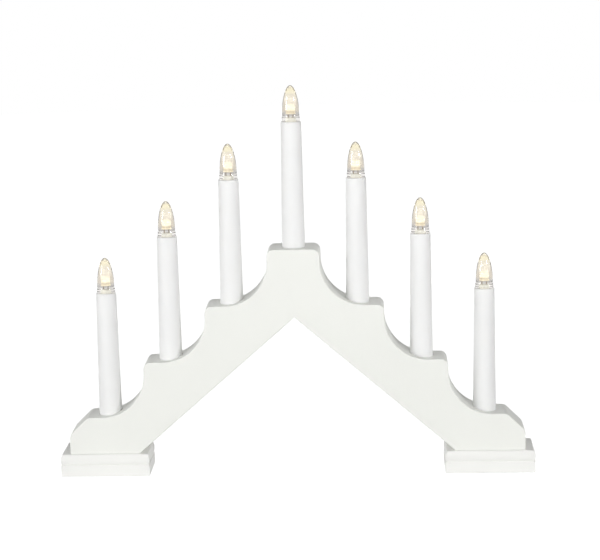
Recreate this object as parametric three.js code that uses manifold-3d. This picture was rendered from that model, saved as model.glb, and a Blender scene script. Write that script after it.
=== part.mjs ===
// LED candle arch: a painted wooden arch in steps on two moulded feet. Every step carries a tapered
// candle tube with a clear push-in LED bulb, and the battery drive is let into the back of the arch.
// Millimetres, +Z up, +Y to the back. The origin is under the middle, on the surface it stands on.

import * as THREE from "three";
import { mergeVertices } from "three/addons/utils/BufferGeometryUtils.js";
import Module from "manifold-3d";

const wasm = await Module();
wasm.setup();

// Clearances
const FIT_GAP = 0.3; // between pieces that seat on or slide in each other
const CUT_OVERRUN = 1; // how far a cut runs past an open face

// Arch body
const STEPS_PER_SIDE = 3;
const CANDLE_PITCH = 52.84; // from one candle axis to the next
const STEP_RISE = 47.25;
const LEG_HEIGHT = 31.3; // foot top to the lowest step
const BODY_THICKNESS = 33;
const EDGE_EASE = 0.8; // small chamfer round the front and back faces
const NOSE_REACH = 22; // candle axis to the outer face of its step
const NOSE_RADIUS = 6;
const SCOOP_RADIUS = 36.5;
const END_REACH = 33.5; // outermost candle axis to the end of the body
const END_BEVEL_RUN = 15.6;
const END_BEVEL_DROP = 15.2;
const END_CORNER_EASE = 3;
const ARM_WIDTH_LOW = 35.23; // wood between the inner edge and the lowest scoop
const ARM_WIDTH_TOP = 37.23; // wood between the inner edge and the top scoop
const SEAT_DEPTH = 4; // bore in the step that the candle tube stands in

// Feet
const FOOT_LENGTH = 75.4;
const FOOT_DEPTH = 40;
const FOOT_HEIGHT = 19.7; // from the surface it stands on
const FOOT_END_OVERHANG = 8; // foot end past the body's end
const PLINTH_HEIGHT = 9.8; // from the surface to the crease under the bead
const BEAD_BULGE = 1.8;
const PAD_INSET = 6; // felt pad edge inside the foot's edge
const PAD_THICKNESS = 1.4;
const PAD_PROUD = 0.5; // felt standing below the foot
const PAD_CORNER_RADIUS = 4;

// Countersunk wood screws, by radius and length
const FOOT_SCREW = { head: 3.6, rim: 0.3, headHeight: 2.4, shank: 1.7, length: 24, point: 4 };
const FOOT_SCREW_SPACING = 30;
const COVER_SCREW = { head: 2.6, rim: 0.3, headHeight: 1.6, shank: 1.1, length: 12, point: 2.5 };

// Candle tubes
const TUBE_HEIGHT = 104.6; // above its step
const TUBE_BASE_DIAMETER = 19.4;
const TUBE_TOP_DIAMETER = 16.9;
const TUBE_WALL = 1.5;
const TUBE_RIM_WALL = 1.85;
const TUBE_RIM_ROUND = 1.1;
const LAMP_SEAT_DEPTH = 16; // rim to the ledge that carries the socket
const LEDGE_WIDTH = 1.6;
const LEDGE_THICKNESS = 2;

// Lamp sockets and bulbs
const SOCKET_WALL = 1.7;
const SOCKET_FLOOR = 3;
const SOCKET_RECESS = 0.8; // socket mouth below the tube rim
const BASE_SPIGOT_HEIGHT = 2.2; // bulb base inside the clear bulb
const BULB_HEIGHT = 30.1; // rim to tip
const BULB_RING_DIAMETER = 14.8;
const BULB_RING_HEIGHT = 3.6;
const BULB_FOOT_DIAMETER = 13.7;
const BULB_SHOULDER_DIAMETER = 12.8;
const BULB_SHOULDER_HEIGHT = 15; // where the pointed arch starts
const BULB_BORE_HEIGHT = 17.5;
const LED_DIAMETER = 5;
const LED_FLANGE_DIAMETER = 5.8;
const LED_FLANGE_HEIGHT = 1;
const LED_HEIGHT = 8.6;
const LED_LIFT = 6.4; // rim to the underside of the flange
const LED_LEAD_PITCH = 2.54;
const LED_LEAD_WIDTH = 0.5;

// Battery drive in the back
const COVER_THICKNESS = 3;
const COVER_MARGIN = 2.6; // wood left round the cover
const COVER_LEDGE = 2.5; // wood that the cover's lower ends rest on
const BAY_INSET = 5.2; // inner edge of the arm to the bays
const CELL_DIAMETER = 14.5;
const CELL_LENGTH = 50.5; // with its nub
const CELL_NUB_DIAMETER = 5.5;
const CELL_NUB_HEIGHT = 1.4;
const CELL_COUNT = 2;
const CELL_HEADROOM = 1.2; // from the cells to the battery door
const TRAY_WALL = 1.4;
const CONTACT_SIDE = 9;
const CONTACT_THICKNESS = 0.6;
const SPRING_LENGTH = 6;
const SPRING_DIAMETER = 7;
const SPRING_WIRE = 0.8;
const SPRING_TURNS = 4;
const TRAY_START = 22; // along the arm, from the inner apex to the tray
const LEAD_ROOM = 5; // bay past the upper end of the tray
const DOOR_RIB_LENGTH = 30;
const DOOR_RIB_DEPTH = 3;
const DOOR_RIB_THICKNESS = 1;
const GRIP_GROOVES = 3;
const GRIP_GROOVE_DEPTH = 0.7;
const GRIP_GROOVE_WIDTH = 1.2;
const GRIP_GROOVE_LENGTH = 8;
const GRIP_GROOVE_PITCH = 3;
const GRIP_END_MARGIN = 6; // door end to its first groove

// Wiring
const WIRE_DIAMETER = 2.4;
const WIRE_LANE = 3.8; // beside the tray
const WIRE_CHANNEL_WIDTH = 6;
const WIRE_WAY_DIAMETER = 7; // drilled from each seat down to the channel
const TERMINAL_WIDTH = 3;
const TERMINAL_THICKNESS = 0.8;

// Control board and slide switch
const BOARD_LENGTH = 27;
const BOARD_WIDTH = 14;
const BOARD_THICKNESS = 1.6;
const BOARD_START = 38; // along the arm, from the inner apex to the board
const BOARD_LEAD_INSET = 4.5; // board end to the lead that reaches over it
const SWITCH_LENGTH = 13;
const SWITCH_WIDTH = 6.4;
const SWITCH_HEIGHT = 6;
const SLIDER_LENGTH = 3;
const SLIDER_WIDTH = 2.4;
const SLIDER_TRAVEL = 4;
const SLIDER_PROUD = 1.6; // knob past the cover
const SLIDER_FOOT_DEPTH = 3.5;

// Facets of round pieces
const TUBE_SIDES = 18;
const BULB_SIDES = 14;
const SMALL_SIDES = 10;
const WIRE_SIDES = 6;
const ARC_STEPS = 4; // an arc of an outline gets twice as many
const TIP_STEPS = 3; // likewise on the pointed arch of a bulb
const SPRING_TURN_STEPS = 10;
const MERGE_DISTANCE = 1e-4; // corners closer than this are one

// Heights and places that follow from the sizes above
const lowestStep = FOOT_HEIGHT + LEG_HEIGHT;
const stepHeight = (level) => lowestStep + level * STEP_RISE;
const candleReach = (level) => (STEPS_PER_SIDE - level) * CANDLE_PITCH;
const bodyEnd = candleReach(0) + END_REACH;
const bodyBottom = FOOT_HEIGHT + FIT_GAP;
const backFace = BODY_THICKNESS / 2;
const footCentre = bodyEnd + FOOT_END_OVERHANG - FOOT_LENGTH / 2;
const scoopCentre = (level) =>
  new THREE.Vector2(candleReach(level + 1) + NOSE_REACH + SCOOP_RADIUS, stepHeight(level) + SCOOP_RADIUS);

// The inner edge of an arm lies ARM_WIDTH_LOW and ARM_WIDTH_TOP inside the lowest and the top scoop,
// so it is the common tangent of two circles round the centres of those scoops.
const lowScoop = scoopCentre(0);
const topScoop = scoopCentre(STEPS_PER_SIDE - 1);
const scoopSlope = Math.atan2(topScoop.y - lowScoop.y, lowScoop.x - topScoop.x);
const armSlope = scoopSlope - Math.asin((ARM_WIDTH_TOP - ARM_WIDTH_LOW) / lowScoop.distanceTo(topScoop));
const slopeSin = Math.sin(armSlope);
const slopeCos = Math.cos(armSlope);
const innerApex =
  (topScoop.x * slopeSin + topScoop.y * slopeCos - SCOOP_RADIUS - ARM_WIDTH_TOP) / slopeCos;

// Half width at a height, and height at a half width, of a line that runs this far outside the inner edge
const reachAt = (offset, height) => ((innerApex - height) * slopeCos + offset) / slopeSin;
const heightAt = (offset, reach) => innerApex + (offset - reach * slopeSin) / slopeCos;

// Lamp parts, each one clearance inside what holds it. Heights are above the candle's step.
const tubeBottom = FIT_GAP - SEAT_DEPTH;
const lampBore = TUBE_TOP_DIAMETER / 2 - TUBE_RIM_WALL;
const ledgeTop = TUBE_HEIGHT - LAMP_SEAT_DEPTH;
const ledgeRadius = lampBore - LEDGE_WIDTH;
const socketRadius = lampBore - FIT_GAP;
const socketBottom = ledgeTop + FIT_GAP;
const socketFloor = socketBottom + SOCKET_FLOOR;
const socketBore = socketRadius - SOCKET_WALL;
const terminalHole = TERMINAL_WIDTH / 2 + FIT_GAP;
const baseBottom = socketFloor + FIT_GAP;
const baseRadius = socketBore - FIT_GAP;
const bulbBore = LED_FLANGE_DIAMETER / 2 + FIT_GAP;
const bulbBottom = TUBE_HEIGHT + FIT_GAP;
const ledBottom = TUBE_HEIGHT + LED_LIFT;

// Battery drive. Depths are along Y, offsets are from the inner edge of the arm.
const coverInside = backFace - COVER_THICKNESS;
const rebateFloor = coverInside - FIT_GAP;
const coverOuterOffset = Math.min(ARM_WIDTH_LOW, ARM_WIDTH_TOP) - COVER_MARGIN;
const trayInnerWidth = CELL_DIAMETER + 2 * FIT_GAP;
const trayWidth = trayInnerWidth + 2 * TRAY_WALL;
const trayGaps = CELL_COUNT + 3; // between walls, contact, cells and spring
const trayInnerLength =
  CONTACT_THICKNESS + CELL_COUNT * CELL_LENGTH + SPRING_LENGTH + trayGaps * FIT_GAP;
const trayLength = trayInnerLength + 2 * TRAY_WALL;
const trayRim = rebateFloor;
const cellDepth = coverInside - CELL_HEADROOM - CELL_DIAMETER / 2;
const trayFloor = cellDepth - CELL_DIAMETER / 2 - FIT_GAP;
const bayFloor = trayFloor - TRAY_WALL - FIT_GAP;
const trayMiddle = BAY_INSET + FIT_GAP + trayWidth / 2;
const laneOffset = BAY_INSET + FIT_GAP + trayWidth + WIRE_LANE / 2;
const laneHeight = (reach) => heightAt(laneOffset, reach);
const wireDepth = 0; // the wires run in the middle of the body's thickness
const channelFoot = laneHeight(candleReach(0)) - WIRE_CHANNEL_WIDTH / 2 - WIRE_DIAMETER / 2;
const coverFoot = channelFoot - COVER_LEDGE;
const doorLength = trayInnerLength + TRAY_WALL;
const doorWidth = trayInnerWidth + TRAY_WALL;
const boardMiddle = BAY_INSET + FIT_GAP + BOARD_WIDTH / 2;
const boardCentre = -(BOARD_START + BOARD_LENGTH / 2);
const switchTop = rebateFloor;
const switchBottom = switchTop - SWITCH_HEIGHT;
const boardTop = switchBottom - FIT_GAP;
const boardBottom = boardTop - BOARD_THICKNESS;
const switchSlotLength = SLIDER_LENGTH + SLIDER_TRAVEL + 2 * FIT_GAP;
const switchSlotWidth = SLIDER_WIDTH + 2 * FIT_GAP;
const sliderStart = boardCentre - SLIDER_TRAVEL / 2;

// Solids and meshes

function toSolid(geometry) {
  const bare = geometry.clone();
  bare.deleteAttribute("normal");
  bare.deleteAttribute("uv");
  const merged = mergeVertices(bare, MERGE_DISTANCE);
  const vertProperties = merged.attributes.position.array;
  const triVerts = new Uint32Array(merged.index.array);
  return new wasm.Manifold(new wasm.Mesh({ numProp: 3, vertProperties, triVerts }));
}

function toGeometry(solid) {
  const mesh = solid.getMesh();
  const geometry = new THREE.BufferGeometry();
  geometry.setAttribute("position", new THREE.BufferAttribute(mesh.vertProperties, 3));
  geometry.setIndex(new THREE.BufferAttribute(mesh.triVerts, 1));
  geometry.computeVertexNormals();
  return geometry;
}

function join(...geometries) {
  return toGeometry(geometries.map(toSolid).reduce((whole, next) => whole.add(next)));
}

function cut(geometry, ...cutters) {
  return toGeometry(cutters.map(toSolid).reduce((whole, next) => whole.subtract(next), toSolid(geometry)));
}

function common(first, second) {
  return toGeometry(toSolid(first).intersect(toSolid(second)));
}

// A box between two corners
function block(low, high) {
  const size = high.map((value, axis) => value - low[axis]);
  const middle = high.map((value, axis) => (value + low[axis]) / 2);
  return new THREE.BoxGeometry(...size).translate(...middle);
}

// A profile of [radius, height] points turned round the Z axis
function turned(profile, sides) {
  const points = profile.map(([radius, height]) => new THREE.Vector2(radius, height));
  return new THREE.LatheGeometry(points, sides).rotateX(Math.PI / 2);
}

// A plain round bar from one height to another
function bar(radius, low, high, sides) {
  return turned([[0, low], [radius, low], [radius, high], [0, high]], sides);
}

// An outline in the XZ plane, as thick as from one depth along Y to another
function plate(outline, front, back, ease = 0) {
  const options = {
    depth: back - front - 2 * ease,
    bevelEnabled: ease > 0,
    bevelSegments: 1,
    bevelSize: ease,
    bevelThickness: ease,
    bevelOffset: -ease,
    curveSegments: ARC_STEPS,
  };
  return new THREE.ExtrudeGeometry(outline, options).rotateX(Math.PI / 2).translate(0, back - ease, 0);
}

// A straight round wire between two points
function wire(from, to) {
  const start = new THREE.Vector3(...from);
  const run = new THREE.Vector3(...to).sub(start);
  const turn = new THREE.Quaternion().setFromUnitVectors(new THREE.Vector3(0, 0, 1), run.clone().normalize());
  const tube = bar(WIRE_DIAMETER / 2, 0, run.length(), WIRE_SIDES).applyQuaternion(turn);
  return tube.translate(...start.toArray());
}

// A countersunk screw along Z with its head's flat face up at height 0, grown all round by a clearance
function screw({ head, rim, headHeight, shank, length, point }, grow = 0) {
  return turned(
    [
      [0, -length - grow],
      [shank / 2 + grow, point / 2 - length - grow],
      [shank + grow, point - length - grow],
      [shank + grow, -headHeight - grow],
      [head + grow, -rim - grow],
      [head + grow, grow],
      [0, grow],
    ],
    SMALL_SIDES,
  );
}

const group = new THREE.Group();

function addMesh(parent, name, geometry, material) {
  const mesh = new THREE.Mesh(geometry, material);
  mesh.name = name;
  parent.add(mesh);
  return mesh;
}

// Frames along the two arms: local X runs along the inner edge, local Z square to it
const rightArm = new THREE.Group();
rightArm.position.z = innerApex;
rightArm.rotation.y = armSlope;
rightArm.updateMatrix();
const leftArm = new THREE.Group();
leftArm.position.z = innerApex;
leftArm.rotation.y = -armSlope;
leftArm.updateMatrix();
group.add(rightArm, leftArm);

const onArm = (arm, geometry) => geometry.clone().applyMatrix4(arm.matrix);
const pointOnArm = (arm, along, depth, offset) =>
  new THREE.Vector3(along, depth, offset).applyMatrix4(arm.matrix).toArray();

// Materials

const paint = new THREE.MeshStandardMaterial({ color: 0xf1f2ed, roughness: 0.5, metalness: 0 });
const footPaint = new THREE.MeshStandardMaterial({ color: 0xf3f3f1, roughness: 0.5, metalness: 0 });
const tubePlastic = new THREE.MeshStandardMaterial({ color: 0xf4f4f3, roughness: 0.4, metalness: 0 });
const clearPlastic = new THREE.MeshStandardMaterial({
  color: 0xf6f3ea,
  roughness: 0.05,
  metalness: 0,
  transparent: true,
  opacity: 0.35,
});
const glow = new THREE.MeshStandardMaterial({ color: 0xffefc4, roughness: 0.3, emissive: 0xffd98a });
const socketPlastic = new THREE.MeshStandardMaterial({ color: 0xe9e6dc, roughness: 0.5, metalness: 0 });
const coverBoard = new THREE.MeshStandardMaterial({ color: 0xe8e6df, roughness: 0.6, metalness: 0 });
const blackPlastic = new THREE.MeshStandardMaterial({ color: 0x2a2a2b, roughness: 0.5, metalness: 0 });
const whitePlastic = new THREE.MeshStandardMaterial({ color: 0xecebe6, roughness: 0.45, metalness: 0 });
const cellJacket = new THREE.MeshStandardMaterial({ color: 0x5b6068, roughness: 0.35, metalness: 0.3 });
const steel = new THREE.MeshStandardMaterial({ color: 0xc4c4c0, roughness: 0.3, metalness: 1 });
const brass = new THREE.MeshStandardMaterial({ color: 0xc9b27c, roughness: 0.35, metalness: 1 });
const boardGreen = new THREE.MeshStandardMaterial({ color: 0x2f5a3a, roughness: 0.6, metalness: 0 });
const wireSleeve = new THREE.MeshStandardMaterial({ color: 0xe4e2dc, roughness: 0.6, metalness: 0 });
const felt = new THREE.MeshStandardMaterial({ color: 0xb9b5aa, roughness: 0.95, metalness: 0 });

// Candle axes from left to right, with the level of the step that each stands on
const candles = [];
for (let place = -STEPS_PER_SIDE; place <= STEPS_PER_SIDE; place += 1) {
  const level = STEPS_PER_SIDE - Math.abs(place);
  candles.push({ number: place + STEPS_PER_SIDE + 1, x: place * CANDLE_PITCH, step: stepHeight(level) });
}

// Arch outline, anticlockwise from the right leg's inner corner: up the right steps, over the top step
// and down the left ones. Each scoop is a quarter circle from the flat of a step up to the next riser.
function archOutline() {
  const outline = new THREE.Shape();
  const legInner = reachAt(0, bodyBottom);
  const bevelFoot = lowestStep - END_BEVEL_DROP;
  const bevelLength = Math.hypot(END_BEVEL_RUN, END_BEVEL_DROP);
  const easeRun = (END_CORNER_EASE * END_BEVEL_RUN) / bevelLength;
  const easeRise = (END_CORNER_EASE * END_BEVEL_DROP) / bevelLength;
  const bevelTop = bodyEnd - END_BEVEL_RUN;
  outline.moveTo(legInner, bodyBottom);
  outline.lineTo(bodyEnd, bodyBottom);
  outline.lineTo(bodyEnd, bevelFoot - END_CORNER_EASE);
  outline.quadraticCurveTo(bodyEnd, bevelFoot, bodyEnd - easeRun, bevelFoot + easeRise);
  outline.lineTo(bevelTop + easeRun, lowestStep - easeRise);
  outline.quadraticCurveTo(bevelTop, lowestStep, bevelTop - END_CORNER_EASE, lowestStep);
  for (let level = 0; level < STEPS_PER_SIDE; level += 1) {
    const centre = scoopCentre(level);
    const riser = centre.x - SCOOP_RADIUS;
    const noseHeight = stepHeight(level + 1) - NOSE_RADIUS;
    outline.absarc(centre.x, centre.y, SCOOP_RADIUS, -Math.PI / 2, -Math.PI, true);
    outline.absarc(riser - NOSE_RADIUS, noseHeight, NOSE_RADIUS, 0, Math.PI / 2, false);
  }
  for (let level = STEPS_PER_SIDE - 1; level >= 0; level -= 1) {
    const centre = scoopCentre(level);
    const riser = centre.x - SCOOP_RADIUS;
    const noseHeight = stepHeight(level + 1) - NOSE_RADIUS;
    outline.absarc(NOSE_RADIUS - riser, noseHeight, NOSE_RADIUS, Math.PI / 2, Math.PI, false);
    outline.absarc(-centre.x, centre.y, SCOOP_RADIUS, 0, -Math.PI / 2, true);
  }
  outline.lineTo(END_CORNER_EASE - bevelTop, lowestStep);
  outline.quadraticCurveTo(-bevelTop, lowestStep, -bevelTop - easeRun, lowestStep - easeRise);
  outline.lineTo(easeRun - bodyEnd, bevelFoot + easeRise);
  outline.quadraticCurveTo(-bodyEnd, bevelFoot, -bodyEnd, bevelFoot - END_CORNER_EASE);
  outline.lineTo(-bodyEnd, bodyBottom);
  outline.lineTo(-legInner, bodyBottom);
  outline.lineTo(0, innerApex);
  outline.closePath();
  return outline;
}

// Inverted V between two lines outside the inner edge, cut off level at its foot
function chevron(innerOffset, outerOffset, foot) {
  const outline = new THREE.Shape();
  outline.moveTo(reachAt(innerOffset, foot), foot);
  outline.lineTo(reachAt(outerOffset, foot), foot);
  outline.lineTo(0, heightAt(outerOffset, 0));
  outline.lineTo(-reachAt(outerOffset, foot), foot);
  outline.lineTo(-reachAt(innerOffset, foot), foot);
  outline.lineTo(0, heightAt(innerOffset, 0));
  outline.closePath();
  return outline;
}

// Places of the screws: through each foot into the leg, and through the cover into the wood
const legCentre = (reachAt(0, bodyBottom) + bodyEnd) / 2;
const footScrewReaches = [legCentre - FOOT_SCREW_SPACING / 2, legCentre + FOOT_SCREW_SPACING / 2];
const padRecessTop = PAD_THICKNESS + FIT_GAP;
const coverScrewEnd = TRAY_START + trayLength + LEAD_ROOM + COVER_SCREW.head + COVER_MARGIN;
const coverScrewMiddle = BOARD_START + BOARD_LENGTH + LEAD_ROOM + COVER_SCREW.head + COVER_MARGIN;
const coverScrewOffset = (COVER_MARGIN + laneOffset - WIRE_CHANNEL_WIDTH / 2) / 2;
const coverScrewPlaces = [
  { name: "apex", point: [0, backFace, heightAt(coverScrewOffset, 0)] },
  { name: "left_middle", point: pointOnArm(leftArm, -coverScrewMiddle, backFace, coverScrewOffset) },
  { name: "left_end", point: pointOnArm(leftArm, -coverScrewEnd, backFace, coverScrewOffset) },
  { name: "right_end", point: pointOnArm(rightArm, coverScrewEnd, backFace, coverScrewOffset) },
];
const footScrewHole = screw(FOOT_SCREW, FIT_GAP).rotateX(Math.PI);
const coverScrewHole = screw(COVER_SCREW, FIT_GAP).rotateX(-Math.PI / 2);

// Arch body: seats and wire ways from above, bays, wire channel and cover rebate from behind

function archBody() {
  const back = backFace + CUT_OVERRUN;
  const bayOuter = laneOffset + WIRE_LANE / 2;
  const channelInner = laneOffset - WIRE_CHANNEL_WIDTH / 2;
  const channelOuter = laneOffset + WIRE_CHANNEL_WIDTH / 2;
  const rebate = chevron(COVER_MARGIN, coverOuterOffset, coverFoot);
  const batteryBay = block(
    [TRAY_START - LEAD_ROOM, bayFloor, BAY_INSET],
    [TRAY_START + trayLength + FIT_GAP, back, bayOuter],
  );
  const boardBay = block(
    [-BOARD_START - BOARD_LENGTH - FIT_GAP, boardBottom - FIT_GAP, BAY_INSET],
    [FIT_GAP - BOARD_START, back, bayOuter],
  );
  const cutters = [
    plate(rebate, rebateFloor, back),
    plate(chevron(channelInner, channelOuter, channelFoot), bayFloor, back),
    onArm(rightArm, batteryBay),
    onArm(leftArm, boardBay),
  ];
  const seatRadius = TUBE_BASE_DIAMETER / 2 + FIT_GAP;
  for (const { x, step } of candles) {
    cutters.push(bar(seatRadius, step - SEAT_DEPTH, step + STEP_RISE, TUBE_SIDES).translate(x, 0, 0));
    const wayFoot = laneHeight(Math.abs(x));
    cutters.push(bar(WIRE_WAY_DIAMETER / 2, wayFoot, step, SMALL_SIDES).translate(x, wireDepth, 0));
  }
  for (const side of [-1, 1]) {
    for (const reach of footScrewReaches) {
      cutters.push(footScrewHole.clone().translate(side * reach, 0, padRecessTop));
    }
  }
  for (const { point } of coverScrewPlaces) {
    cutters.push(coverScrewHole.clone().translate(...point));
  }
  return cut(plate(archOutline(), -backFace, backFace, EDGE_EASE), ...cutters);
}

addMesh(group, "arch_body", archBody(), paint);

// Feet: one moulding profile runs along the foot and one across it, so the corners meet in mitres

function mouldingProfile(length) {
  const half = length / 2;
  const neck = half - BEAD_BULGE;
  const beadRise = (FOOT_HEIGHT - PLINTH_HEIGHT) / 2;
  const beadMiddle = PLINTH_HEIGHT + beadRise;
  const profile = new THREE.Shape();
  profile.moveTo(-half, PAD_PROUD);
  profile.lineTo(half, PAD_PROUD);
  profile.lineTo(half, PLINTH_HEIGHT);
  profile.absellipse(neck, beadMiddle, BEAD_BULGE, beadRise, -Math.PI / 2, Math.PI / 2);
  profile.absellipse(-neck, beadMiddle, BEAD_BULGE, beadRise, Math.PI / 2, 1.5 * Math.PI);
  profile.lineTo(-half, PLINTH_HEIGHT);
  profile.closePath();
  return profile;
}

function padOutline(grow) {
  const halfLength = FOOT_LENGTH / 2 - PAD_INSET + grow;
  const halfDepth = FOOT_DEPTH / 2 - PAD_INSET + grow;
  const round = PAD_CORNER_RADIUS + grow;
  const outline = new THREE.Shape();
  outline.absarc(halfLength - round, halfDepth - round, round, 0, Math.PI / 2);
  outline.absarc(round - halfLength, halfDepth - round, round, Math.PI / 2, Math.PI);
  outline.absarc(round - halfLength, round - halfDepth, round, Math.PI, 1.5 * Math.PI);
  outline.absarc(halfLength - round, round - halfDepth, round, 1.5 * Math.PI, 2 * Math.PI);
  outline.closePath();
  return outline;
}

function padSolid(grow, low, high) {
  const options = { depth: high - low, bevelEnabled: false, curveSegments: ARC_STEPS / 2 };
  return new THREE.ExtrudeGeometry(padOutline(grow), options).translate(0, 0, low);
}

function footBlock() {
  const along = plate(mouldingProfile(FOOT_LENGTH), -FOOT_DEPTH / 2, FOOT_DEPTH / 2);
  const across = plate(mouldingProfile(FOOT_DEPTH), -FOOT_LENGTH / 2, FOOT_LENGTH / 2);
  return common(along, across.rotateZ(Math.PI / 2));
}

for (const [side, sign] of [["left", -1], ["right", 1]]) {
  const foot = new THREE.Group();
  foot.position.x = sign * footCentre;
  group.add(foot);
  const screwPlaces = footScrewReaches.map((reach) => sign * (reach - footCentre));
  const holes = screwPlaces.map((x) => footScrewHole.clone().translate(x, 0, padRecessTop));
  const recess = padSolid(FIT_GAP, 0, padRecessTop);
  addMesh(foot, `${side}_foot`, cut(footBlock(), recess, ...holes), footPaint);
  addMesh(foot, `${side}_foot_pad`, padSolid(0, 0, PAD_THICKNESS), felt);
  for (const [place, x] of [["inner", screwPlaces[0]], ["outer", screwPlaces[1]]]) {
    const name = `${side}_foot_screw_${place}`;
    const mesh = addMesh(foot, name, screw(FOOT_SCREW).rotateX(Math.PI), steel);
    mesh.position.set(x, 0, padRecessTop);
  }
}

// Candles: tube, socket in its top, and the push-in bulb made of base, LED and clear bullet

function tubeGeometry() {
  const footRadius = TUBE_BASE_DIAMETER / 2;
  const topRadius = TUBE_TOP_DIAMETER / 2;
  const outside = (height) => footRadius + ((topRadius - footRadius) * height) / TUBE_HEIGHT;
  const rimFoot = TUBE_HEIGHT - TUBE_RIM_ROUND;
  const roundStart = outside(rimFoot);
  const roundCentre = roundStart - TUBE_RIM_ROUND;
  const diagonal = TUBE_RIM_ROUND * Math.SQRT1_2;
  const ledgeBottom = ledgeTop - LEDGE_THICKNESS;
  return turned(
    [
      [footRadius - TUBE_WALL, tubeBottom],
      [footRadius, tubeBottom],
      [footRadius, 0],
      [roundStart, rimFoot],
      [roundCentre + diagonal, rimFoot + diagonal],
      [roundCentre, TUBE_HEIGHT],
      [lampBore, TUBE_HEIGHT],
      [lampBore, ledgeTop],
      [ledgeRadius, ledgeTop],
      [ledgeRadius, ledgeBottom],
      [outside(ledgeBottom) - TUBE_WALL, ledgeBottom],
      [footRadius - TUBE_WALL, tubeBottom],
    ],
    TUBE_SIDES,
  );
}

function socketGeometry() {
  const mouth = TUBE_HEIGHT - SOCKET_RECESS;
  return turned(
    [
      [terminalHole, socketBottom],
      [socketRadius, socketBottom],
      [socketRadius, mouth],
      [socketBore, mouth],
      [socketBore, socketFloor],
      [terminalHole, socketFloor],
      [terminalHole, socketBottom],
    ],
    BULB_SIDES,
  );
}

function baseGeometry() {
  const spigotRadius = bulbBore - FIT_GAP;
  const spigotTop = bulbBottom + BASE_SPIGOT_HEIGHT;
  const plug = turned(
    [
      [0, baseBottom],
      [baseRadius, baseBottom],
      [baseRadius, TUBE_HEIGHT],
      [spigotRadius, TUBE_HEIGHT],
      [spigotRadius, spigotTop],
      [0, spigotTop],
    ],
    SMALL_SIDES,
  );
  const halfLength = LED_LEAD_PITCH / 2 + LED_LEAD_WIDTH / 2 + FIT_GAP;
  const halfWidth = LED_LEAD_WIDTH / 2 + FIT_GAP;
  const slot = block(
    [-halfLength, -halfWidth, baseBottom - CUT_OVERRUN],
    [halfLength, halfWidth, spigotTop + CUT_OVERRUN],
  );
  return cut(plug, slot);
}

function ledGeometry() {
  const radius = LED_DIAMETER / 2;
  const flange = LED_FLANGE_DIAMETER / 2;
  const flangeTop = ledBottom + LED_FLANGE_HEIGHT;
  const domeFoot = ledBottom + LED_HEIGHT - radius;
  const dome = new THREE.Path().absarc(0, domeFoot, radius, 0, Math.PI / 2).getPoints(ARC_STEPS / 2);
  const body = turned(
    [
      [0, ledBottom],
      [flange, ledBottom],
      [flange, flangeTop],
      [radius, flangeTop],
      ...dome.slice(0, -1).map((point) => point.toArray()),
      [0, domeFoot + radius],
    ],
    SMALL_SIDES,
  );
  const leads = [-1, 1].map((side) => {
    const middle = (side * LED_LEAD_PITCH) / 2;
    const half = LED_LEAD_WIDTH / 2;
    return block([middle - half, -half, baseBottom], [middle + half, half, flangeTop]);
  });
  return join(body, ...leads);
}

// The tip is a pointed arch: a circle that leaves the shoulder upright and meets the axis at the tip
function bulbGeometry() {
  const shoulder = BULB_SHOULDER_DIAMETER / 2;
  const shoulderHeight = TUBE_HEIGHT + BULB_SHOULDER_HEIGHT;
  const rise = BULB_HEIGHT - BULB_SHOULDER_HEIGHT;
  const archRadius = (shoulder * shoulder + rise * rise) / (2 * shoulder);
  const archAngle = Math.asin(rise / archRadius);
  const arch = new THREE.Path();
  arch.absarc(shoulder - archRadius, shoulderHeight, archRadius, 0, archAngle);
  const boreTop = TUBE_HEIGHT + BULB_BORE_HEIGHT;
  const dome = new THREE.Path();
  dome.absarc(0, boreTop - bulbBore, bulbBore, Math.PI / 2, 0, true);
  const ringTop = TUBE_HEIGHT + BULB_RING_HEIGHT;
  const ringRadius = BULB_RING_DIAMETER / 2;
  const footRadius = BULB_FOOT_DIAMETER / 2;
  const domePoints = dome.getPoints(ARC_STEPS / 2).slice(1);
  const archPoints = arch.getPoints(TIP_STEPS).slice(0, -1);
  return turned(
    [
      [0, boreTop],
      ...domePoints.map((point) => point.toArray()),
      [bulbBore, bulbBottom],
      [ringRadius, bulbBottom],
      [ringRadius, ringTop - (ringRadius - footRadius)],
      [footRadius, ringTop],
      ...archPoints.map((point) => point.toArray()),
      [0, shoulderHeight + rise],
    ],
    BULB_SIDES,
  );
}

const candlePieces = [
  ["candle_tube", tubeGeometry(), tubePlastic],
  ["lamp_socket", socketGeometry(), socketPlastic],
  ["bulb_base", baseGeometry(), socketPlastic],
  ["bulb_led", ledGeometry(), glow],
  ["bulb_lens", bulbGeometry(), clearPlastic],
];
for (const { number, x, step } of candles) {
  const candle = new THREE.Group();
  candle.position.set(x, 0, step);
  group.add(candle);
  for (const [name, geometry, material] of candlePieces) {
    addMesh(candle, `${name}_${number}`, geometry, material);
  }
}

// Wiring harness: a run in the channel over the arch, a riser with its terminal up to every socket,
// and short branches to the battery tray and the control board

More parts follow.
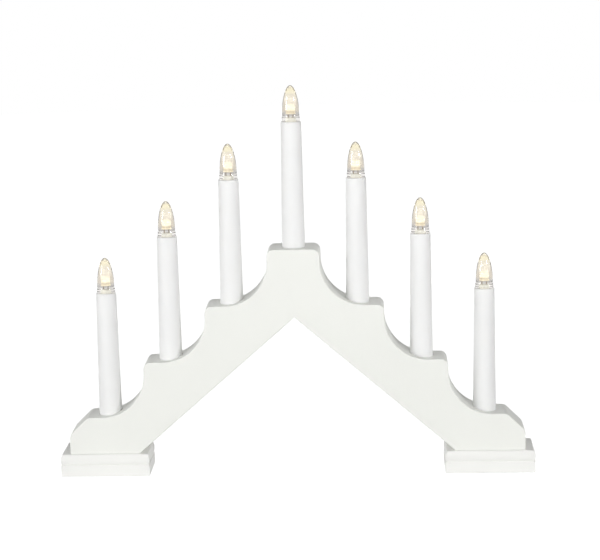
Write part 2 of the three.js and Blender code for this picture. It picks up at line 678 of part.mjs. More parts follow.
function harnessGeometry() {
  const outerCandle = candleReach(0);
  const apex = [0, wireDepth, laneHeight(0)];
  const pieces = [];
  for (const side of [-1, 1]) {
    pieces.push(wire([side * outerCandle, wireDepth, laneHeight(outerCandle)], apex));
  }
  for (const { x, step } of candles) {
    const socketUnder = step + ledgeTop - LEDGE_THICKNESS;
    const terminalTop = step + socketFloor;
    pieces.push(wire([x, wireDepth, laneHeight(Math.abs(x))], [x, wireDepth, socketUnder]));
    const half = TERMINAL_WIDTH / 2;
    const thin = TERMINAL_THICKNESS / 2;
    const terminal = block([-half, -thin, socketUnder - WIRE_DIAMETER], [half, thin, terminalTop]);
    pieces.push(terminal.translate(x, wireDepth, 0));
  }
  const trayLead = TRAY_START - FIT_GAP - WIRE_DIAMETER / 2;
  pieces.push(
    wire(
      pointOnArm(rightArm, trayLead, wireDepth, laneOffset),
      pointOnArm(rightArm, trayLead, wireDepth, trayMiddle),
    ),
  );
  const boardLead = -BOARD_START - BOARD_LEAD_INSET;
  const leadDepth = boardTop + FIT_GAP + WIRE_DIAMETER / 2;
  pieces.push(
    wire(
      pointOnArm(leftArm, boardLead, wireDepth, laneOffset),
      pointOnArm(leftArm, boardLead, leadDepth + WIRE_DIAMETER / 2, laneOffset),
    ),
    wire(
      pointOnArm(leftArm, boardLead, leadDepth, laneOffset),
      pointOnArm(leftArm, boardLead, leadDepth, boardMiddle + SWITCH_WIDTH / 2 + FIT_GAP),
    ),
  );
  return join(...pieces);
}

addMesh(group, "wiring_harness", harnessGeometry(), wireSleeve);

// Rear cover with the battery opening, the switch slot and the countersunk screw holes

const trayCentre = TRAY_START + trayLength / 2;

function coverGeometry() {
  const low = coverInside - CUT_OVERRUN;
  const high = backFace + CUT_OVERRUN;
  const sheet = plate(
    chevron(COVER_MARGIN + FIT_GAP, coverOuterOffset - FIT_GAP, coverFoot + FIT_GAP),
    coverInside,
    backFace,
  );
  const halfLength = doorLength / 2 + FIT_GAP;
  const halfWidth = doorWidth / 2 + FIT_GAP;
  const opening = block(
    [trayCentre - halfLength, low, trayMiddle - halfWidth],
    [trayCentre + halfLength, high, trayMiddle + halfWidth],
  );
  const slot = block(
    [boardCentre - switchSlotLength / 2, low, boardMiddle - switchSlotWidth / 2],
    [boardCentre + switchSlotLength / 2, high, boardMiddle + switchSlotWidth / 2],
  );
  const holes = coverScrewPlaces.map(({ point }) => coverScrewHole.clone().translate(...point));
  return cut(sheet, onArm(rightArm, opening), onArm(leftArm, slot), ...holes);
}

addMesh(group, "rear_cover", coverGeometry(), coverBoard);
for (const { name, point } of coverScrewPlaces) {
  const mesh = addMesh(group, `cover_screw_${name}`, screw(COVER_SCREW).rotateX(-Math.PI / 2), steel);
  mesh.position.set(...point);
}

// Battery tray, cells, spring, contact plate and door, along the right arm

function trayGeometry() {
  const shell = block(
    [TRAY_START, trayFloor - TRAY_WALL, trayMiddle - trayWidth / 2],
    [TRAY_START + trayLength, trayRim, trayMiddle + trayWidth / 2],
  );
  const hollow = block(
    [TRAY_START + TRAY_WALL, trayFloor, trayMiddle - trayInnerWidth / 2],
    [TRAY_START + trayLength - TRAY_WALL, trayRim + CUT_OVERRUN, trayMiddle + trayInnerWidth / 2],
  );
  return cut(shell, hollow);
}

// A cell along Z with its nub down at height 0
function cellGeometry() {
  const radius = CELL_DIAMETER / 2;
  const nub = CELL_NUB_DIAMETER / 2;
  return turned(
    [
      [0, 0],
      [nub, 0],
      [nub, CELL_NUB_HEIGHT],
      [radius, CELL_NUB_HEIGHT],
      [radius, CELL_LENGTH],
      [0, CELL_LENGTH],
    ],
    TUBE_SIDES,
  );
}

class HelixCurve extends THREE.Curve {
  getPoint(share, target = new THREE.Vector3()) {
    const angle = share * SPRING_TURNS * 2 * Math.PI;
    const radius = (SPRING_DIAMETER - SPRING_WIRE) / 2;
    const rise = SPRING_WIRE / 2 + share * (SPRING_LENGTH - SPRING_WIRE);
    return target.set(radius * Math.cos(angle), radius * Math.sin(angle), rise);
  }
}

function springGeometry() {
  const rim = new THREE.Path().absarc(0, 0, SPRING_WIRE / 2, 0, 2 * Math.PI);
  const section = new THREE.Shape(rim.getPoints(WIRE_SIDES / 2));
  const steps = SPRING_TURNS * SPRING_TURN_STEPS;
  const options = { steps, extrudePath: new HelixCurve(), bevelEnabled: false };
  return new THREE.ExtrudeGeometry(section, options);
}

const contactStart = TRAY_START + TRAY_WALL + FIT_GAP;
const contactPlate = block(
  [contactStart, trayFloor + FIT_GAP, trayMiddle - CONTACT_SIDE / 2],
  [contactStart + CONTACT_THICKNESS, trayFloor + FIT_GAP + CONTACT_SIDE, trayMiddle + CONTACT_SIDE / 2],
);
addMesh(rightArm, "battery_tray", trayGeometry(), blackPlastic);
addMesh(rightArm, "battery_contact", contactPlate, brass);

let cellStart = contactStart + CONTACT_THICKNESS + FIT_GAP;
for (let number = 1; number <= CELL_COUNT; number += 1) {
  const cell = addMesh(rightArm, `battery_cell_${number}`, cellGeometry(), cellJacket);
  cell.position.set(cellStart, cellDepth, trayMiddle);
  cell.rotation.y = Math.PI / 2;
  cellStart += CELL_LENGTH + FIT_GAP;
}
const spring = addMesh(rightArm, "battery_spring", springGeometry(), steel);
spring.position.set(cellStart, cellDepth, trayMiddle);
spring.rotation.y = Math.PI / 2;

function doorGeometry() {
  const halfLength = doorLength / 2;
  const panel = block(
    [trayCentre - halfLength, coverInside, trayMiddle - doorWidth / 2],
    [trayCentre + halfLength, backFace, trayMiddle + doorWidth / 2],
  );
  const ribs = [-1, 1].map((side) => {
    const outer = trayInnerWidth / 2 - FIT_GAP;
    const edges = [side * outer, side * (outer - DOOR_RIB_THICKNESS)].sort((a, b) => a - b);
    return block(
      [trayCentre - DOOR_RIB_LENGTH / 2, coverInside - DOOR_RIB_DEPTH, trayMiddle + edges[0]],
      [trayCentre + DOOR_RIB_LENGTH / 2, coverInside + CUT_OVERRUN, trayMiddle + edges[1]],
    );
  });
  const grooves = [];
  for (let number = 0; number < GRIP_GROOVES; number += 1) {
    const start = trayCentre + halfLength - GRIP_END_MARGIN - number * GRIP_GROOVE_PITCH;
    grooves.push(
      block(
        [start - GRIP_GROOVE_WIDTH, backFace - GRIP_GROOVE_DEPTH, trayMiddle - GRIP_GROOVE_LENGTH / 2],
        [start, backFace + CUT_OVERRUN, trayMiddle + GRIP_GROOVE_LENGTH / 2],
      ),
    );
  }
  return cut(join(panel, ...ribs), ...grooves);
}

addMesh(rightArm, "battery_door", doorGeometry(), whitePlastic);

// Control board with its slide switch, along the left arm

function switchGeometry() {
  const body = block(
    [boardCentre - SWITCH_LENGTH / 2, switchBottom, boardMiddle - SWITCH_WIDTH / 2],
    [boardCentre + SWITCH_LENGTH / 2, switchTop, boardMiddle + SWITCH_WIDTH / 2],
  );
  const slotFloor = switchTop - SLIDER_FOOT_DEPTH - FIT_GAP;
  const slot = block(
    [boardCentre - switchSlotLength / 2, slotFloor, boardMiddle - switchSlotWidth / 2],
    [boardCentre + switchSlotLength / 2, switchTop + CUT_OVERRUN, boardMiddle + switchSlotWidth / 2],
  );
  return cut(body, slot);
}

const board = block(
  [-BOARD_START - BOARD_LENGTH, boardBottom, boardMiddle - BOARD_WIDTH / 2],
  [-BOARD_START, boardTop, boardMiddle + BOARD_WIDTH / 2],
);
const slider = block(
  [sliderStart - SLIDER_LENGTH / 2, switchTop - SLIDER_FOOT_DEPTH, boardMiddle - SLIDER_WIDTH / 2],
  [sliderStart + SLIDER_LENGTH / 2, backFace + SLIDER_PROUD, boardMiddle + SLIDER_WIDTH / 2],
);
addMesh(leftArm, "control_board", board, boardGreen);
addMesh(leftArm, "switch_body", switchGeometry(), blackPlastic);
addMesh(leftArm, "switch_slider", slider, blackPlastic);

export default group;
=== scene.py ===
"""Looks of a seven-light candle arch, laid over its packed construction.

Shapes are worked out with numpy in millimetres, as grids over two parameters or as profiles carried
round an axis or along a path, and are written to meshes in metres. +Z is up and +Y points to the back.
"""

import logging
import math
from collections.abc import Callable, Sequence
from dataclasses import dataclass, field
from enum import Enum

import bmesh
import bpy
import numpy as np
from mathutils import Matrix, Vector


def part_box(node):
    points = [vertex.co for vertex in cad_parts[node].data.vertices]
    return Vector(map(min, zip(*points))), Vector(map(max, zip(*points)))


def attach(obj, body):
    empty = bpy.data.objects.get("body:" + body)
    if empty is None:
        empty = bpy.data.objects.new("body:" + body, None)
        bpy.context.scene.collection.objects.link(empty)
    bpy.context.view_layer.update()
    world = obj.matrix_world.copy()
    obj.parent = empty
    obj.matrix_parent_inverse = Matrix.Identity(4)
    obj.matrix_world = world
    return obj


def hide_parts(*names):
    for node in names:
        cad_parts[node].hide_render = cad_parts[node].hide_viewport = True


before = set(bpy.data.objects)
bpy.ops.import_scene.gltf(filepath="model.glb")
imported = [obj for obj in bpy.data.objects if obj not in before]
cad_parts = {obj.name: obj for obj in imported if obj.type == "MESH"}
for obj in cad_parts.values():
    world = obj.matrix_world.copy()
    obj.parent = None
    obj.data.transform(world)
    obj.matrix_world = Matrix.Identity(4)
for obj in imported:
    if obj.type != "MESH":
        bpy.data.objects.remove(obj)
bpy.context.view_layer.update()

LOG = logging.getLogger("candle_arch")
MM = 0.001
WELD_DISTANCE = 1e-7
REPEAT_DISTANCE = 1e-6
CREASE_ANGLE = math.radians(32)
SWEEP_SIDE = (0.31, 0.95, 0.02)
FIT_GAP = 0.3
CUT_OVERRUN = 1.0
CUT_CORNER = 0.05
CUT_EASE = 0.02
CANDLES = range(1, 8)
BLACK = (0.0, 0.0, 0.0)
WHITE = (1.0, 1.0, 1.0, 1.0)

Colour = tuple[float, float, float]
Stops = Sequence[tuple[float, Colour]]
Span = tuple[float, float]
Placing = Callable[[np.ndarray], np.ndarray]
Inputs = dict[str | int, object]
Socket = bpy.types.NodeSocket
Material = bpy.types.Material
Piece = bpy.types.Object


class Side(Enum):
    """The two arms, by the sign of their X."""

    LEFT = -1
    RIGHT = 1

    @property
    def word(self) -> str:
        """The side's name as it stands in the names of pieces."""
        return self.name.lower()


class Corner(Enum):
    """Corners of a turned profile: the signs of its two directions and the angle where its round starts."""

    OUTER_LOW = (1, -1, 270)
    OUTER_TOP = (1, 1, 0)
    INNER_TOP = (-1, 1, 90)


def linear(red: int, green: int, blue: int) -> Colour:
    """Turns a display colour of 0 to 255 into linear light, by the usual curve of displays.

    Args:
        red: Red as displayed.
        green: Green as displayed.
        blue: Blue as displayed.

    Returns:
        The colour as linear red, green and blue from 0 to 1.
    """
    shown = np.array((red, green, blue)) / 255
    light = np.where(shown <= 0.04045, shown / 12.92, ((shown + 0.055) / 1.055) ** 2.4)
    return tuple(float(channel) for channel in light)


# Surfaces


@dataclass
class Surface:
    """A mesh in the making.

    Attributes:
        points: Corner points in millimetres, one row each.
        faces: Blocks of faces, each an array of corner numbers with one row a face.
        along: How far each point lies along its profile, from 0 to 1.
    """

    points: np.ndarray
    faces: list[np.ndarray]
    along: np.ndarray

    def mapped(self, place: Placing) -> "Surface":
        """Returns the surface with its points put through a placing function."""
        return Surface(place(self.points), self.faces, self.along)

    def moved(self, offset: Sequence[float]) -> "Surface":
        """Returns the surface moved by an offset in millimetres."""
        return self.mapped(lambda points: points + np.asarray(offset, float))

    def piece(self, name: str) -> Piece:
        """Makes a closed mesh object of the surface, welded, with its faces turned outwards.

        Args:
            name: Name of the new object.

        Returns:
            The object, at the origin, with its place in its mesh.
        """
        mesh = bpy.data.meshes.new(name)
        corners = [face for patch in self.faces for face in patch.tolist()]
        mesh.from_pydata((self.points * MM).tolist(), [], corners)
        along = mesh.attributes.new("along", "FLOAT", "POINT")
        along.data.foreach_set("value", self.along.astype(np.float32))
        shell = bmesh.new()
        shell.from_mesh(mesh)
        bmesh.ops.remove_doubles(shell, verts=shell.verts, dist=WELD_DISTANCE)
        bmesh.ops.recalc_face_normals(shell, faces=shell.faces)
        shell.to_mesh(mesh)
        shell.free()
        piece = bpy.data.objects.new(name, mesh)
        bpy.context.scene.collection.objects.link(piece)
        shade(mesh)
        return piece


def shade(mesh: bpy.types.Mesh) -> None:
    """Shades a mesh smooth between its creases."""
    mesh.shade_smooth()
    mesh.set_sharp_from_angle(angle=CREASE_ANGLE)


def merged(*surfaces: Surface) -> Surface:
    """Puts several surfaces into one.

    Args:
        surfaces: The surfaces, which may touch.

    Returns:
        One surface with all their points and faces.
    """
    starts = np.cumsum([0] + [len(surface.points) for surface in surfaces[:-1]])
    faces = [patch + start for surface, start in zip(surfaces, starts) for patch in surface.faces]
    points = np.vstack([surface.points for surface in surfaces])
    return Surface(points, faces, np.concatenate([surface.along for surface in surfaces]))


def quads(rows: int, columns: int, closed: bool) -> np.ndarray:
    """Numbers the faces of a grid of points.

    Args:
        rows: Rows of points.
        columns: Points in a row.
        closed: Whether the last column joins the first.

    Returns:
        One row of four corner numbers a face.
    """
    across = np.arange(columns if closed else columns - 1)
    row, column = np.meshgrid(np.arange(rows - 1), across, indexing="ij")
    right = (column + 1) % columns
    here, above = row * columns, (row + 1) * columns
    return np.stack((here + column, here + right, above + right, above + column), axis=-1).reshape(-1, 4)


def grid(points: np.ndarray, closed: bool = False) -> Surface:
    """Makes a surface of a grid of points.

    Args:
        points: Array of rows, columns and three coordinates.
        closed: Whether the last column joins the first.

    Returns:
        The surface, with along running over the rows.
    """
    rows, columns, _ = points.shape
    along = np.repeat(np.linspace(0, 1, rows), columns)
    return Surface(points.reshape(-1, 3), [quads(rows, columns, closed)], along)


def lathe(profile: np.ndarray, sides: int) -> Surface:
    """Turns a profile round the Z axis: a point is (r cos a, r sin a, z) for every angle a.

    Args:
        profile: Rows of radius and height. Rows on the axis weld to poles.
        sides: Points round the axis.

    Returns:
        The turned surface, with along measured on the profile's length.
    """
    angle = np.linspace(0, 2 * np.pi, sides, endpoint=False)
    radius, height = profile[:, :1], profile[:, 1:]
    points = np.stack((radius * np.cos(angle), radius * np.sin(angle), height + 0 * angle), axis=-1)
    surface = grid(points, closed=True)
    length = np.concatenate(([0], np.cumsum(np.linalg.norm(np.diff(profile, axis=0), axis=1))))
    surface.along = np.repeat(length / length[-1], sides)
    return surface


def sweep(path: np.ndarray, radius: float, sides: int) -> Surface:
    """Carries a circle along a path: a point is path + radius (cos a normal + sin a binormal).

    The normal is square to the path and to a fixed side axis that the path never follows for long.

    Args:
        path: Points of the path.
        radius: Radius of the round section.
        sides: Points round the section.

    Returns:
        The tube, with both ends closed.
    """
    heading = np.gradient(path, axis=0)
    heading /= np.linalg.norm(heading, axis=1, keepdims=True)
    normal = np.cross(heading, SWEEP_SIDE)
    normal /= np.linalg.norm(normal, axis=1, keepdims=True)
    binormal = np.cross(heading, normal)
    angle = np.linspace(0, 2 * np.pi, sides, endpoint=False)[None, :, None]
    rings = path[:, None] + radius * (np.cos(angle) * normal[:, None] + np.sin(angle) * binormal[:, None])
    return capped(rings)


def capped(rings: np.ndarray) -> Surface:
    """Joins a stack of closed rings and closes it with a flat face at either end.

    Args:
        rings: Array of rows, points round and three coordinates.

    Returns:
        The closed surface.
    """
    surface = grid(rings, closed=True)
    rows, columns, _ = rings.shape
    surface.faces += [np.arange(columns)[None, ::-1], (rows - 1) * columns + np.arange(columns)[None]]
    return surface


def arc(centre: Sequence[float], radius: float, start: float, stop: float, steps: int) -> np.ndarray:
    """Points of a circular arc: centre + radius (cos a, sin a).

    Args:
        centre: Centre of the circle.
        radius: Its radius.
        start: First angle in degrees.
        stop: Last angle in degrees.
        steps: Stretches between the points.

    Returns:
        The points, one row each.
    """
    angle = np.radians(np.linspace(start, stop, steps + 1))
    return np.asarray(centre, float) + radius * np.column_stack((np.cos(angle), np.sin(angle)))


def corner_round(tip: Sequence[float], radius: float, corner: Corner, steps: int) -> np.ndarray:
    """Quarter round in a profile's corner: an arc whose centre lies a radius inside both edges.

    Args:
        tip: Where the two edges would meet.
        radius: Radius of the round.
        corner: Which corner it is.
        steps: Stretches between the points.

    Returns:
        The points, one row each.
    """
    across, up, start = corner.value
    return arc((tip[0] - across * radius, tip[1] - up * radius), radius, start, start + 90, steps)


def knee(start: Sequence[float], corner: Sequence[float], end: Sequence[float], steps: int) -> np.ndarray:
    """Points of an eased corner: (1 - t)^2 start + 2 t (1 - t) corner + t^2 end.

    Args:
        start: Where the curve leaves the first line.
        corner: Where the two lines would meet.
        end: Where it joins the second line.
        steps: Stretches between the points.

    Returns:
        The points, one row each.
    """
    share = np.linspace(0, 1, steps + 1)[:, None]
    first, middle, last = (np.asarray(point, float) for point in (start, corner, end))
    return (1 - share) ** 2 * first + 2 * share * (1 - share) * middle + share**2 * last


def chain(*stretches: np.ndarray | Sequence[float]) -> np.ndarray:
    """Joins stretches of points end to end and drops points that repeat their neighbour.

    Args:
        stretches: Single points and rows of points.

    Returns:
        The points, one row each.
    """
    points = np.vstack([np.atleast_2d(stretch) for stretch in stretches]).astype(float)
    fresh = np.linalg.norm(np.diff(points, axis=0), axis=1) > REPEAT_DISTANCE
    return points[np.concatenate(([True], fresh))]


def refined(points: np.ndarray, pitch: float) -> np.ndarray:
    """Splits stretches of a line of points that are longer than a pitch into even ones.

    Args:
        points: The line's points.
        pitch: Longest stretch that stays whole.

    Returns:
        The line with more points on it.
    """
    gaps = np.linalg.norm(np.diff(points, axis=0), axis=1)
    shares = np.maximum(np.ceil(gaps / pitch), 1)
    starts = np.concatenate(([0], np.cumsum(shares)))
    places = np.arange(starts[-1] + 1)
    return np.column_stack([np.interp(places, starts, points[:, axis]) for axis in range(points.shape[1])])


def drawn_in(loop: np.ndarray, distance: float) -> np.ndarray:
    """Draws a closed anticlockwise loop in by a distance.

    Each point moves along the mitre of its two edges, which is the sum of their inward normals over one
    plus their dot product.

    Args:
        loop: Points of the loop in a plane.
        distance: How far its edges move inwards.

    Returns:
        The smaller loop, point for point.
    """
    edge = np.roll(loop, -1, axis=0) - loop
    edge /= np.linalg.norm(edge, axis=1, keepdims=True)
    after = np.column_stack((-edge[:, 1], edge[:, 0]))
    before = np.roll(after, 1, axis=0)
    return loop + distance * (before + after) / (1 + np.sum(before * after, axis=1, keepdims=True))


def rounded_loop(half: np.ndarray, corner: float, steps: int) -> np.ndarray:
    """Anticlockwise loop of a rectangle with quarter-circle corners.

    Args:
        half: Half of its length and of its width.
        corner: Radius of its corners.
        steps: Stretches of every corner.

    Returns:
        The points, one row each.
    """
    reach = half - corner
    signs = ((1, 1), (-1, 1), (-1, -1), (1, -1))
    turns = [arc(reach * sign, corner, 90 * turn, 90 * turn + 90, steps) for turn, sign in enumerate(signs)]
    return np.vstack(turns)


def eased(low: float, high: float, ease: float, steps: int) -> np.ndarray:
    """Edge profile of a plate with a quarter round at either face.

    At an angle a the round's inset is ease (1 - sin a) and its depth from the face is ease (1 - cos a).

    Args:
        low: Depth of the first face.
        high: Depth of the second face.
        ease: Radius of the rounded edges.
        steps: Stretches of every quarter round.

    Returns:
        Rows of inset and depth.
    """
    angle = np.linspace(0, np.pi / 2, steps + 1)
    first = np.column_stack((ease * (1 - np.sin(angle)), low + ease * (1 - np.cos(angle))))
    second = np.column_stack((first[::-1, 0], low + high - first[::-1, 1]))
    return np.vstack((first, second))


def square_edged(low: float, high: float) -> np.ndarray:
    """Edge profile of a plate with square edges, as rows of inset and depth."""
    return np.array(((0, low), (0, high)))


def stacked(half: np.ndarray, corner: float, profile: np.ndarray, steps: int) -> Surface:
    """Stacks rounded rectangles along Z, each drawn in by an edge profile's inset at the profile's height.

    Args:
        half: Half of the length and of the width where the inset is 0.
        corner: Radius of the rectangles' corners.
        profile: Rows of inset and height.
        steps: Stretches of every corner.

    Returns:
        The closed surface.
    """
    rings = [
        np.insert(rounded_loop(half - inset, corner, steps), 2, height, axis=1) for inset, height in profile
    ]
    return capped(np.stack(rings))


def block(low: Sequence[float], high: Sequence[float], corner: float, ease: float, steps: int = 3) -> Surface:
    """A block with round upright corners and eased rims.

    Args:
        low: Its lowest corner.
        high: Its highest corner.
        corner: Radius of the corners round its third axis.
        ease: Radius of the rims at both ends of that axis.
        steps: Stretches of every quarter round.

    Returns:
        The closed surface.
    """
    low, high = np.asarray(low, float), np.asarray(high, float)
    middle, half = (low + high) / 2, (high - low) / 2
    return stacked(half[:2], corner, eased(-half[2], half[2], ease, steps), steps).moved(middle)


def about(middle: float, half: float) -> Span:
    """The span that reaches half its length to either side of its middle."""
    return middle - half, middle + half


def bar(arm: Placing, along: Span, offset: Span, depth: Span, corner: float = CUT_CORNER,
        ease: float = CUT_EASE) -> Surface:
    """A block that lies along an arm.

    Args:
        arm: Placing of the arm's own frame.
        along: Where it starts and ends along the arm.
        offset: Where it starts and ends square to the arm.
        depth: Where it starts and ends from front to back.
        corner: Radius of its corners.
        ease: Radius of its rims.

    Returns:
        The closed surface in the part's frame.
    """
    low, high = np.array((along, offset, depth)).T
    return block(low, high, corner, ease).mapped(arm)


def slab(sheet: np.ndarray, profile: np.ndarray) -> Surface:
    """A plate over a sheet of plan points, with an edge profile carried round it.

    The rim is the sheet's edge, drawn in by the profile's inset at the profile's depth along Y. The sheet,
    ruled afresh between its drawn-in long edges, closes both faces.

    Args:
        sheet: Array of rows, columns and the plan's X and Z, with the last row the outer edge.
        profile: Rows of inset and depth, from the front face to the back face.

    Returns:
        The closed surface.
    """
    rows, columns, _ = sheet.shape
    across, up = np.arange(columns), np.arange(1, rows - 1)
    row = np.concatenate((np.full(columns, rows - 1), up[::-1], np.zeros(columns, int), up))
    column = np.concatenate((across[::-1], np.zeros(rows - 2, int), across, np.full(rows - 2, columns - 1)))
    loop = sheet[row, column]
    rim = np.stack([np.insert(drawn_in(loop, inset), 1, depth, axis=1) for inset, depth in profile])
    share = np.linspace(0, 1, rows)[:, None, None]
    faces = []
    for inset, depth in (profile[0], profile[-1]):
        edge = drawn_in(loop, inset)
        outer, inner = edge[:columns][::-1], edge[columns + rows - 2:][:columns]
        face = (1 - share) * inner + share * outer
        face[row, column] = edge
        faces.append(grid(np.insert(face, 1, depth, axis=2)))
    return merged(grid(rim, closed=True), *faces)


# Pieces


def settle(piece: Piece) -> None:
    """Makes what a piece's modifiers give its own mesh.

    Args:
        piece: The piece, which loses its modifiers.
    """
    graph = bpy.context.evaluated_depsgraph_get()
    finished = bpy.data.meshes.new_from_object(piece.evaluated_get(graph))
    rough = piece.data
    piece.modifiers.clear()
    piece.data = finished
    bpy.data.meshes.remove(rough)
    finished.name = piece.name


def carve(piece: Piece, cutters: Sequence[Surface]) -> None:
    """Cuts closed surfaces out of a piece, one after the other.

    Args:
        piece: The piece that loses the material.
        cutters: What is cut away.
    """
    tools = [cutter.piece(f"{piece.name}_cutter_{number}") for number, cutter in enumerate(cutters)]
    for tool in tools:
        cut = piece.modifiers.new(tool.name, "BOOLEAN")
        cut.operation = "DIFFERENCE"
        cut.solver = "MANIFOLD"
        cut.object = tool
    settle(piece)
    for tool in tools:
        mesh = tool.data
        bpy.data.objects.remove(tool)
        bpy.data.meshes.remove(mesh)
    shade(piece.data)


def level_normals(piece: Piece) -> None:
    """Lets the large faces of a piece set its shading, so that flat faces stay flat beside small rounds.

    Args:
        piece: The piece.
    """
    weighting = piece.modifiers.new("level_normals", "WEIGHTED_NORMAL")
    weighting.keep_sharp = True
    settle(piece)


def box_of(node: str) -> tuple[np.ndarray, np.ndarray]:
    """Lowest and highest corner of a solid of the construction, in millimetres."""
    low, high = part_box(node)
    return np.array(low) / MM, np.array(high) / MM


def enlist(piece: Piece, body: str, slot: str, material: Material, *nodes: str) -> None:
    """Dresses a finished piece, hangs it on its body and hides the solids that it stands for.

    Args:
        piece: The finished piece.
        body: Body that it rides on.
        slot: Slot of the record that its finish belongs to. Not used.
        material: Its material.
        nodes: Solids of the construction that it stands for.
    """
    piece.data.materials.clear()
    piece.data.materials.append(material)
    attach(piece, body)
    if nodes:
        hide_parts(*nodes)
    LOG.info("%s: %d faces, rides on %s", piece.name, len(piece.data.polygons), body)


# Finishes


class Bench:
    """The shader nodes of a material or of the surroundings, under construction."""

    def __init__(self, owner: Material | bpy.types.World) -> None:
        """Clears the owner's nodes.

        Args:
            owner: Material or surroundings that the nodes belong to.
        """
        owner.use_nodes = True
        self.tree = owner.node_tree
        self.tree.nodes.clear()

    def lay(self, kind: str, inputs: Inputs | None = None, **settings: object) -> bpy.types.Node:
        """Adds a node.

        Args:
            kind: Node type without its common prefix.
            inputs: Input sockets by name or number, each with a value or with the socket that feeds it.
            settings: Properties of the node itself.

        Returns:
            The new node.
        """
        node = self.tree.nodes.new("ShaderNode" + kind)
        for key, value in settings.items():
            setattr(node, key, value)
        for key, value in (inputs or {}).items():
            if isinstance(value, Socket):
                self.tree.links.new(value, node.inputs[key])
            else:
                node.inputs[key].default_value = value
        return node

    def place(self, stretch: Sequence[float] = (1, 1, 1)) -> Socket:
        """Returns object coordinates, stretched along each axis."""
        spot = self.lay("TexCoord").outputs["Object"]
        return self.lay("Mapping", {"Vector": spot, "Scale": stretch}).outputs["Vector"]

    def along(self) -> Socket:
        """Returns how far a point lies along its piece's profile, from 0 to 1."""
        return self.lay("Attribute", attribute_name="along").outputs["Fac"]

    def noise(self, where: Socket, cells: float, detail: float = 3.0) -> Socket:
        """Returns soft noise with so many cells a metre."""
        return self.lay("TexNoise", {"Vector": where, "Scale": cells, "Detail": detail}).outputs["Fac"]

    def ramp(self, share: Socket, stops: Stops, stepped: bool = False) -> Socket:
        """Returns a colour picked along a row of stops.

        Args:
            share: Where on the row, from 0 to 1.
            stops: Places on the row with their colours.
            stepped: Whether a stop's colour holds up to the next stop.

        Returns:
            The colour output.
        """
        node = self.lay("ValToRGB", {"Fac": share})
        node.color_ramp.interpolation = "CONSTANT" if stepped else "LINEAR"
        elements = node.color_ramp.elements
        while len(elements) < len(stops):
            elements.new(0.5)
        for element, (place, colour) in zip(elements, stops):
            element.position = place
            element.color = (*colour, 1)
        return node.outputs["Color"]

    def between(self, share: Socket, low: float, high: float) -> Socket:
        """Returns a share of 0 to 1 stretched between two values."""
        return self.lay("MapRange", {"Value": share, "To Min": low, "To Max": high}).outputs["Result"]

    def relief(self, height: Socket, depth: float, strength: float = 1.0,
               under: Socket | None = None) -> Socket:
        """Returns a normal bent by a height.

        Args:
            height: Height from 0 to 1.
            depth: What a height of 1 stands for, in metres.
            strength: How much of the bend shows.
            under: A normal that this relief lies on.

        Returns:
            The normal output.
        """
        inputs: Inputs = {"Height": height, "Distance": depth, "Strength": strength}
        if under is not None:
            inputs["Normal"] = under
        return self.lay("Bump", inputs).outputs["Normal"]


def shades(tone: Colour, drift: float, dark_place: float = 0.3, light_place: float = 0.7) -> Stops:
    """Gives two stops round a tone.

    Args:
        tone: Linear colour between them.
        drift: How much darker and lighter they are, as a share of the tone.
        dark_place: Place of the darker stop.
        light_place: Place of the lighter stop.

    Returns:
        The two stops.
    """
    dark = tuple(channel * (1 - drift) for channel in tone)
    light = tuple(min(channel * (1 + drift), 1.0) for channel in tone)
    return [(dark_place, dark), (light_place, light)]


@dataclass(frozen=True)
class Finish:
    """What every finish has.

    Attributes:
        name: Name of the material.
    """

    name: str

    def inputs(self, bench: Bench) -> Inputs:
        """Lays the finish's own nodes.

        Args:
            bench: Where the nodes are laid.

        Returns:
            What feeds the surface shader.
        """
        raise NotImplementedError

    def material(self) -> Material:
        """Builds the material.

        Returns:
            The new material.
        """
        material = bpy.data.materials.new(self.name)
        bench = Bench(material)
        shader = bench.lay("BsdfPrincipled", self.inputs(bench))
        bench.lay("OutputMaterial", {"Surface": shader.outputs["BSDF"]})
        return material


@dataclass(frozen=True)
class SatinPaint(Finish):
    """Sprayed satin paint: the lay of the spray over a fine peel, and slow drifts of tone.

    Attributes:
        tone: Linear colour.
        roughness: Middle roughness.
        peel: Cells of the peel a metre.
        peel_depth: Depth of the peel in metres.
    """

    tone: Colour
    roughness: float = 0.46
    peel: float = 620.0
    peel_depth: float = 0.00006

    def inputs(self, bench: Bench) -> Inputs:
        """Lays the drifts, the peel and the lay of the spray.

        Args:
            bench: Where the nodes are laid.

        Returns:
            What feeds the surface shader.
        """
        where = bench.place()
        cloud = bench.noise(where, cells=16, detail=4)
        peel = bench.noise(where, cells=self.peel, detail=2)
        lay = bench.noise(bench.place((1, 1, 0.25)), cells=240)
        return {
            "Base Color": bench.ramp(cloud, shades(self.tone, drift=0.012)),
            "Roughness": bench.between(lay, self.roughness - 0.08, self.roughness + 0.08),
            "Normal": bench.relief(lay, self.peel_depth, 0.5, bench.relief(peel, self.peel_depth)),
            "IOR": 1.45,
        }


@dataclass(frozen=True)
class CandlePlastic(Finish):
    """White moulded plastic that lets a little light into itself.

    Attributes:
        tone: Linear colour.
        depth: How far light runs inside it, in metres.
    """

    tone: Colour
    depth: float = 0.003

    def inputs(self, bench: Bench) -> Inputs:
        """Lays draw marks along the tube and drifts of tone.

        Args:
            bench: Where the nodes are laid.

        Returns:
            What feeds the surface shader.
        """
        draw = bench.noise(bench.place((1, 1, 0.12)), cells=300)
        cloud = bench.noise(bench.place(), cells=22)
        return {
            "Base Color": bench.ramp(cloud, shades(self.tone, drift=0.01)),
            "Roughness": bench.between(draw, 0.3, 0.42),
            "Normal": bench.relief(draw, depth=0.00003),
            "Subsurface Weight": 0.3,
            "Subsurface Radius": (1.0, 0.97, 0.92),
            "Subsurface Scale": self.depth,
            "Sheen Weight": 0.2,
            "Sheen Roughness": 0.4,
            "IOR": 1.46,
        }


